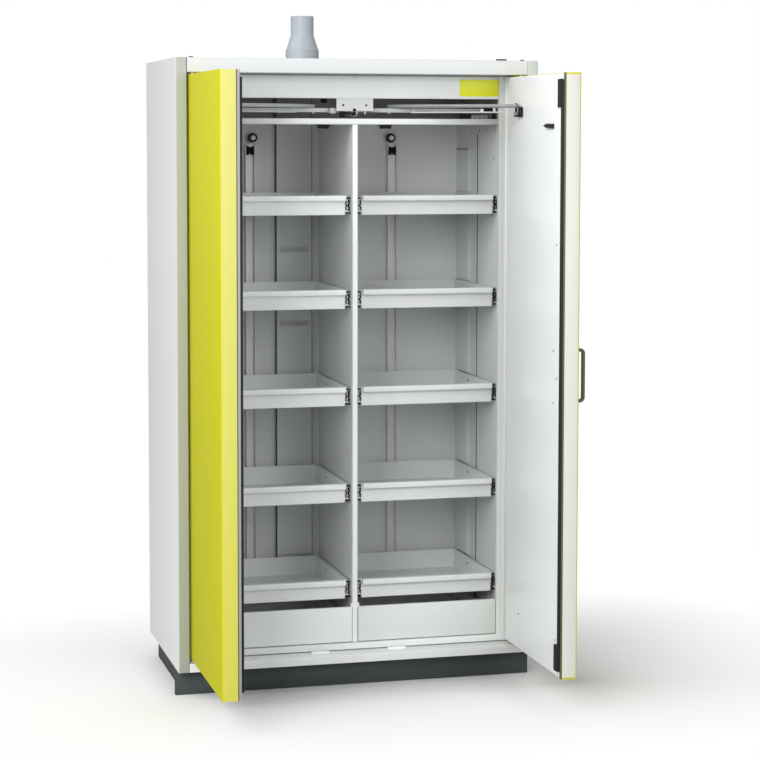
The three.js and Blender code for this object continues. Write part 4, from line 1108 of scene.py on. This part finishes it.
def member_shell(face, reach, base_z, rear_y):
    """The moving member of a slide: a channel on a tray's side wall, open away from it by its reach."""
    path = [(abs(reach), SLIDE_HEIGHT), (0, SLIDE_HEIGHT), (0, 0), (abs(reach), 0)]
    member = folded(path, GAUGE, 0.8, "y", SLIDE_FRONT_Y, rear_y, 2)
    return moved(flipped(member, np.sign(reach)), (face, 0, base_z))


def cage_shell(inner, outer, base_z):
    """Plastic ball cage at the front end of a slide: a slanted bar, a zigzag and a straight bar, given as
    shares of the width between two values of x and of the slide's height."""
    depth, stroke, bend = (SLIDE_FRONT_Y - 2, SLIDE_FRONT_Y + 9), 3.2, 0.3

    def spot(shares):
        return np.array([inner, base_z]) + np.array(shares) * [outer - inner, SLIDE_HEIGHT]

    zigzag = spot([(0.05, 0.74), (0.75, 0.7), (0.3, 0.56), (0.85, 0.42), (0.25, 0.3), (0.75, 0.18),
                   (0.1, 0.14)])
    return joined(
        slab(spot([(0, 0.82), (1, 0.84), (1, 0.93), (0, 0.91)]), "y", *depth, bend),
        folded(zigzag, stroke, bend, "y", *depth, 2),
        slab(spot(rectangle(0, 1, -0.06, 0.03)), "y", *depth, bend),
    )


def seat_shell(x0, x1, base_z):
    """Plate that closes the front end of a slide, behind its cage."""
    return block((x0, x1), (SLIDE_FRONT_Y + 3, SLIDE_FRONT_Y + 14), (base_z + 2, base_z + SLIDE_HEIGHT - 2),
                 "y", 0.6)


def add_trays():
    """Ten trays with their slide members and the black cages at the slides' front ends."""
    play, wall_gap = 0.2, 1.7
    for level, tray in TRAYS.items():
        left, right = tray.x0 + INNER_REACH, tray.x1 - SLIDE_REACH
        base_z, rear_y = tray.z0 + SLIDE_LIFT, tray.y1 - SLIDE_REAR_INSET
        pan = tray_shell((left, right, tray.y1), tray.y0 + sizes().lip_depth, tray.z0, tray.z1, True)
        members = joined(
            member_shell(left, -INNER_REACH, base_z, rear_y),
            member_shell(right, SLIDE_REACH, base_z, rear_y),
            seat_shell(tray.x0 + play, left - wall_gap, base_z),
            seat_shell(right + wall_gap, tray.x1 - play, base_z))
        plugs = [block((x, x + 0.5), (49, 57), (tray.z0 + 40, tray.z0 + 48), "x", 1)
                 for x in (left + GAUGE, right - GAUGE - 0.5)]
        cages = joined(
            cage_shell(left - 1.5, tray.x0, base_z), cage_shell(right + 0.6, tray.x1, base_z), *plugs)
        node, body = f"tray_SIDE_{level}", f"SIDE_tray_{level}"
        add_pair(f"{node}_pan", pan, "tray", body, node)
        add_pair(f"{node}_members", members, "channel", body)
        add_pair(f"{node}_cages", cages, "dull_black", body)


def add_fixed_cages():
    """Black cages before pale seats in the front ends of the fixed rails."""
    cages, seats = [], []
    wall, post, reach = WALL_X - 1.8, PARTITION_HALF + 1.2, 5.8
    for low in [tray.z0 for tray in TRAYS.values()] + [DRAWER_PAN_Z]:
        base = low + SLIDE_LIFT
        cages += [cage_shell(wall, wall - reach, base), cage_shell(post, post + reach, base)]
        seats += [seat_shell(wall - reach * 0.55, wall, base), seat_shell(post, post + reach, base)]
    add_piece("fixed_rail_cages", both_sides(joined(*cages)), "dull_black")
    add_piece("fixed_rail_seats", both_sides(joined(*seats)), "lining")


def add_base_drawers():
    """Two drawers: a front with rounded edges and a low pan behind it on slides."""
    thick, wall_height = 14, 78
    back_y = DRAWER.y0 + thick
    left, right = TRAYS[1].x0 + SLIDE_REACH, TRAYS[1].x1 - SLIDE_REACH
    front = block((DRAWER.x0, DRAWER.x1 + 2), (DRAWER.y0, back_y), (DRAWER.z0, DRAWER.z1), "y", 1.5, 1.2)
    pan = tray_shell((left, right, DRAWER.y1), back_y - 0.5, DRAWER_PAN_Z, DRAWER_PAN_Z + wall_height, False)
    members = joined(*(member_shell(face, reach, DRAWER_PAN_Z + SLIDE_LIFT, DRAWER.y1 - SLIDE_REAR_INSET)
                       for face, reach in ((left, -SLIDE_REACH), (right, SLIDE_REACH))))
    add_pair("base_drawer_SIDE_box", joined(front, pan), "tray", "SIDE_base_drawer",
             "base_drawer_SIDE")
    add_pair("base_drawer_SIDE_members", members, "zinc", "SIDE_base_drawer")


# Leaves

def add_leaf_skins():
    """Folded skins of the two leaves with their top and bottom lids, and the pale panel set into the
    free edge of the right leaf."""
    bend, set_in, flange, lap, gap = sizes().bend, 0.4, 18, 2, 0.4
    for name, side in SIDES.items():
        free_y = SKIN.y0 + (set_in if name == "right" else 0)
        path = [(SKIN.x0, SKIN.y0 + flange), (SKIN.x0, free_y), (SKIN.x1, free_y), (SKIN.x1, SKIN.y1),
                (SKIN.x0 + lap, SKIN.y1)]
        sheet = folded(path, GAUGE, np.array([0, bend, bend, 5, bend]), "z", SKIN.z0, SKIN.z1)
        inside = rectangle(SKIN.x0 + GAUGE, SKIN.x1 - GAUGE, free_y + GAUGE, SKIN.y1 - GAUGE)
        lids = [slab(rounded(inside, bend), "z", low, low + GAUGE, 0.3)
                for low in (SKIN.z0 + gap, SKIN.z1 - GAUGE - gap)]
        add_piece(f"{name}_door_skin_sheet", flipped(joined(sheet, *lids), side), "door",
                  f"{name}_door", f"{name}_door_skin")
    panel = block((SKIN.x0 + 2.6, SKIN.x1 - 4), (SKIN.y0, SKIN.y0 + 1.2), (SKIN.z0 + 5.5, SKIN.z1 - 5.5),
                  "y", 1.5, 0.3)
    add_piece("right_door_edge_panel", panel, "trim", "right_door")


def add_leaf_linings():
    """Lining sheets of the leaves with their screws."""
    inner_x = LEAF_LINING.x0
    sheet = block((inner_x, LEAF_LINING.x1), (LEAF_LINING.y0, SKIN.y1 - 0.1),
                  (LEAF_LINING.z0, LEAF_LINING.z1), "x", 2, 0.4)
    add_pair("SIDE_door_lining_sheet", sheet, "lining", "SIDE_door", "SIDE_door_lining")
    places = [(inner_x, y, z) for y, z in (
        (-771, 1890), (-766, 1470), (-741, 1141), (-771, 1058), (-742, 979), (-773, 239), (-417, 245))]
    screws = copies(screw_head("x", -1, sizes().screw), places)
    add_pair("SIDE_door_lining_screws", screws, "plinth", "SIDE_door")


def ribbed_outline(base_x, tip_x, y0, y1, ribs=3, samples=49):
    """Section of a lip seal: a flat back, and a face whose height follows the absolute sine, with as
    many humps as there are ribs."""
    y = np.linspace(y0, y1, samples)
    floor = 0.55
    height = floor + (1 - floor) * np.abs(np.sin(math.pi * ribs * (y - y0) / (y1 - y0)))
    face = np.stack([base_x + (tip_x - base_x) * height, y], axis=-1)
    return np.concatenate([[(base_x, y0)], face, [(base_x, y1)]])


def add_leaf_seals():
    """Ribbed seals and end blocks of the right leaf, and the edge strip and seal of the left leaf."""
    seal = box("right_door_seal")
    back = seal.x1
    ribs = slab(ribbed_outline(back, back - 5.5, seal.y0 - 6, seal.y0 + 12), "z", seal.z0, seal.z1, 0.3)
    blocks = [slab(rounded(rectangle(seal.y0, seal.y0 + 30, *ends), 1.5), "x", back - 9.5, back, 1.2)
              for ends in ((seal.z0 - 1, seal.z0 + 80), (seal.z1 - 83, seal.z1 + 3))]
    add_piece("right_door_seal_profile", joined(ribs, *blocks), "seal", "right_door",
              "right_door_seal")
    strip = box("left_door_edge_strip")
    outline = rounded(rectangle(strip.x0, strip.x1, strip.y0, strip.y1), 1.6)
    add_piece("left_door_edge_moulding", slab(outline, "z", strip.z0, strip.z1, 0.5), "strip",
              "left_door", "left_door_edge_strip")
    lip = box("left_door_seal")
    ribs = slab(ribbed_outline(lip.x0, lip.x1, lip.y0, lip.y1), "z", lip.z0, lip.z1, 0.3)
    add_piece("left_door_seal_profile", ribs, "seal", "left_door", "left_door_seal")


def add_leaf_fittings():
    """Bow handle swept round its two corners, and the catch hooks and arm housings on the linings."""
    thick, wide, corner = 10, HANDLE.y1 - HANDLE.y0, 16
    half, out = thick / 2, HANDLE.x1 - thick / 2
    low, high, mid_y = HANDLE.z0 + half, HANDLE.z1 - half, (HANDLE.y0 + HANDLE.y1) / 2
    line = rounded([(HANDLE.x0, low), (out, low), (out, high), (HANDLE.x0, high)], corner - half,
                   closed=False, steps=10)
    section = rounded(rectangle(-half, half, -wide / 2, wide / 2), 3.5, steps=5)
    add_piece("right_door_handle_bow", swept(placed(line, mid_y, "y"), section, (0, 1, 0)), "handle",
              "right_door", "right_door_handle")
    mid_z, half, blunt = (HOOK.z0 + HOOK.z1) / 2, (HOOK.z1 - HOOK.z0) / 2, 1
    end_y, taper = HOOK.y1 - 20, 24
    upper = [(end_y, blunt), (end_y - taper, half), (HOOK.y0, half)]
    outline = [(y, mid_z - z) for y, z in upper[::-1]] + [(y, mid_z + z) for y, z in upper]
    hook = slab(rounded(outline, [2, 4, 0.8, 0.8, 4, 2]), "x", HOOK.x0 + 4, HOOK.x1, 1.5)
    add_pair("SIDE_door_catch", hook, "black", "SIDE_door", "SIDE_door_catch_hook")
    inner_x = LEAF_LINING.x0
    housing = block((inner_x - 4.8, inner_x), (-433, -412), (1864, 1899), "x", 9, 2)
    add_pair("SIDE_door_arm_housing", housing, "black", "SIDE_door")


# Camera, light and floor, in metres

WHITE = (1.0, 1.0, 1.0)
WORLD_STRENGTH = 0.41
FLOOR_REACH = 14.0
SHADOW_CENTRE, SHADOW_STRETCH, SHADOW_FADE = (0.08, -0.05, 0), (1, 1.35, 1), (0.07, 1.1)
LAMP_SIZE, LAMP_TARGET = 2.4, (0, 0, 1.0)
LAMPS = (
    ("front_right_light", (1.8, -6.0, 2.6), 77),
    ("high_left_light", (-4.5, 0.6, 4.6), 62),
    ("front_left_light", (-3.4, -5.4, 3.0), 157),
    ("top_light", (-2.0, -3.6, 4.6), 34),
    ("high_front_left_light", (-4.0, -3.0, 4.8), 103),
)
CAMERA_PLACE = (-1.70132, -7.0204, 1.79809)
CAMERA_YAW, CAMERA_PITCH, CAMERA_ROLL = 0.257199, -0.0752, 0.001366
CAMERA_FOCUS_PX, IMAGE_PX, CAMERA_DROP_PX, SENSOR_WIDTH = 2151.95, 760, 80, 36.0


def add_camera():
    """A camera at the viewpoint of the photograph: turned about Z, tilted, then rolled about its own axis."""
    lens = bpy.data.cameras.new("studio_camera")
    lens.sensor_width = SENSOR_WIDTH
    lens.lens = CAMERA_FOCUS_PX * SENSOR_WIDTH / IMAGE_PX
    lens.shift_y = -CAMERA_DROP_PX / IMAGE_PX
    camera = bpy.data.objects.new("studio_camera", lens)
    camera.matrix_world = (
        Matrix.Translation(CAMERA_PLACE) @ Matrix.Rotation(-CAMERA_YAW, 4, "Z")
        @ Matrix.Rotation(math.pi / 2 + CAMERA_PITCH, 4, "X") @ Matrix.Rotation(CAMERA_ROLL, 4, "Z"))
    bpy.context.scene.collection.objects.link(camera)
    bpy.context.scene.camera = camera


def add_lamp(name, place, power):
    """A square soft lamp that looks at the cabinet's middle."""
    light = bpy.data.lights.new(name, "AREA")
    light.shape = "SQUARE"
    light.size = LAMP_SIZE
    light.energy = power
    lamp = bpy.data.objects.new(name, light)
    direction = Vector(LAMP_TARGET) - Vector(place)
    lamp.matrix_world = Matrix.Translation(place) @ direction.to_track_quat("-Z", "Y").to_matrix().to_4x4()
    bpy.context.scene.collection.objects.link(lamp)


def add_floor():
    """A wide floor that takes the cabinet's shadow near it and runs out to white: the white's share grows
    with a power of the distance from a rectangle as large as the cabinet."""
    mesh = bpy.data.meshes.new("studio_floor")
    corners = placed(rectangle(-FLOOR_REACH, FLOOR_REACH, -FLOOR_REACH, FLOOR_REACH), 0, "z")
    mesh.from_pydata(corners, [], [(0, 1, 2, 3)])
    floor = bpy.data.objects.new("studio_floor", mesh)
    bpy.context.scene.collection.objects.link(floor)
    recipe = Recipe("studio_floor")
    hues = bpy.context.scene.cabinet_colours
    seen = recipe.ray("Camera")
    recipe.surface(base_color=recipe.blend(seen, hues.floor_bounce, hues.floor), roughness=0.6)
    beyond = recipe.place
    for operation, *values in (
            ("SUBTRACT", SHADOW_CENTRE), ("ABSOLUTE",), ("SUBTRACT", (CASING.x1 * MM, CASING.y1 * MM, 0)),
            ("MAXIMUM", ORIGIN), ("MULTIPLY", SHADOW_STRETCH)):
        inputs = dict(enumerate([beyond, *values]))
        beyond = recipe.node("ShaderNodeVectorMath", inputs, operation=operation)
    distance = recipe.node("ShaderNodeVectorMath", {0: beyond}, output="Value", operation="LENGTH")
    start, end = SHADOW_FADE
    share = recipe.node("ShaderNodeMapRange", {"Value": distance, "From Min": start, "From Max": end})
    white = recipe.node("ShaderNodeEmission", {"Color": paint(WHITE), "Strength": 1.0})
    shaded = Flow(recipe, recipe.shader.outputs[0])
    recipe.mixed_surface(seen * recipe.math("POWER", share, 0.6), shaded, white)
    mesh.materials.append(recipe.material)


def add_world():
    """Even studio light, seen as plain white by the camera and through glass."""
    world = bpy.data.worlds.new("studio")
    bpy.context.scene.world = world
    world.use_nodes = True
    nodes = Nodes(world.node_tree)
    light, white = (nodes.node("ShaderNodeBackground", {"Color": paint(WHITE), "Strength": strength})
                    for strength in (WORLD_STRENGTH, 1.0))
    nodes.mixed_surface(nodes.math("MAXIMUM", nodes.ray("Camera"), nodes.ray("Transmission")), light, white)


def add_stage():
    add_camera()
    add_floor()
    add_world()
    for lamp in LAMPS:
        add_lamp(*lamp)
    bpy.context.scene.view_settings.view_transform = "Standard"


# Operators, in the order in which the pieces are made

class CABINET_OT_casing(Operator):
    """Folded outer sheets, rear sheet, front frame with its seals, and plinth"""
    bl_idname = "cabinet.casing"
    bl_label = "Casing"

    def execute(self, context):
        add_casing()
        add_rear_sheet()
        add_front_frame()
        add_frame_fittings()
        add_plinth()
        return {"FINISHED"}


class CABINET_OT_roof(Operator):
    """Exhaust socket with its reducer, and the roof caps"""
    bl_idname = "cabinet.roof"
    bl_label = "Roof parts"

    def execute(self, context):
        add_roof_parts()
        return {"FINISHED"}


class CABINET_OT_interior(Operator):
    """Finishes of the CAD sheets, header, cross rail, supply ducts, slide cages and small parts"""
    bl_idname = "cabinet.interior"
    bl_label = "Interior"

    def execute(self, context):
        dress_nodes()
        add_header()
        add_supply_ducts()
        add_rear_wall_strips()
        add_small_parts()
        add_fixed_cages()
        return {"FINISHED"}


class CABINET_OT_closing_gear(Operator):
    """Closing arms, latch, guide rail's fittings, pulleys and channel clamps"""
    bl_idname = "cabinet.closing_gear"
    bl_label = "Closing gear"

    def execute(self, context):
        add_closing_arms()
        add_closer_latch()
        add_guide_rail_parts()
        add_rear_gear()
        return {"FINISHED"}


class CABINET_OT_trays(Operator):
    """Ten pull-out trays with their slides"""
    bl_idname = "cabinet.trays"
    bl_label = "Trays"

    def execute(self, context):
        add_trays()
        return {"FINISHED"}


class CABINET_OT_base_drawers(Operator):
    """Two drawers under the trays"""
    bl_idname = "cabinet.base_drawers"
    bl_label = "Base drawers"

    def execute(self, context):
        add_base_drawers()
        return {"FINISHED"}


class CABINET_OT_leaves(Operator):
    """Door leaves with linings, seals, handle and hooks"""
    bl_idname = "cabinet.leaves"
    bl_label = "Door leaves"

    def execute(self, context):
        add_leaf_skins()
        add_leaf_linings()
        add_leaf_seals()
        add_leaf_fittings()
        return {"FINISHED"}


class CABINET_OT_stage(Operator):
    """Camera, floor, backdrop and soft lamps"""
    bl_idname = "cabinet.stage"
    bl_label = "Stage"

    def execute(self, context):
        add_stage()
        return {"FINISHED"}


OPERATORS = (
    CABINET_OT_stage, CABINET_OT_casing, CABINET_OT_roof, CABINET_OT_interior, CABINET_OT_closing_gear,
    CABINET_OT_trays, CABINET_OT_base_drawers, CABINET_OT_leaves,
)


class CABINET_PT_pieces(Panel):
    """Lists the operators that build the cabinet, and its sizes and colours"""
    bl_idname = "CABINET_PT_pieces"
    bl_label = "Safety Cabinet"
    bl_space_type = "VIEW_3D"
    bl_region_type = "UI"
    bl_category = "Cabinet"

    def draw(self, context):
        for operator in OPERATORS:
            self.layout.operator(operator.bl_idname)
        for group in (context.scene.cabinet_sizes, context.scene.cabinet_colours):
            column = self.layout.column(align=True)
            for name in group.__annotations__:
                column.prop(group, name)


CLASSES = (CabinetSizes, CabinetColours, *OPERATORS, CABINET_PT_pieces)


def register():
    for item in CLASSES:
        bpy.utils.register_class(item)
    bpy.types.Scene.cabinet_sizes = PointerProperty(type=CabinetSizes)
    bpy.types.Scene.cabinet_colours = PointerProperty(type=CabinetColours)


def unregister():
    del bpy.types.Scene.cabinet_colours
    del bpy.types.Scene.cabinet_sizes
    for item in reversed(CLASSES):
        bpy.utils.unregister_class(item)


def main():
    """Registers the classes and builds every piece in order."""
    register()
    for operator in OPERATORS:
        group, name = operator.bl_idname.split(".")
        getattr(getattr(bpy.ops, group), name)()


if __name__ == "__main__":
    main()
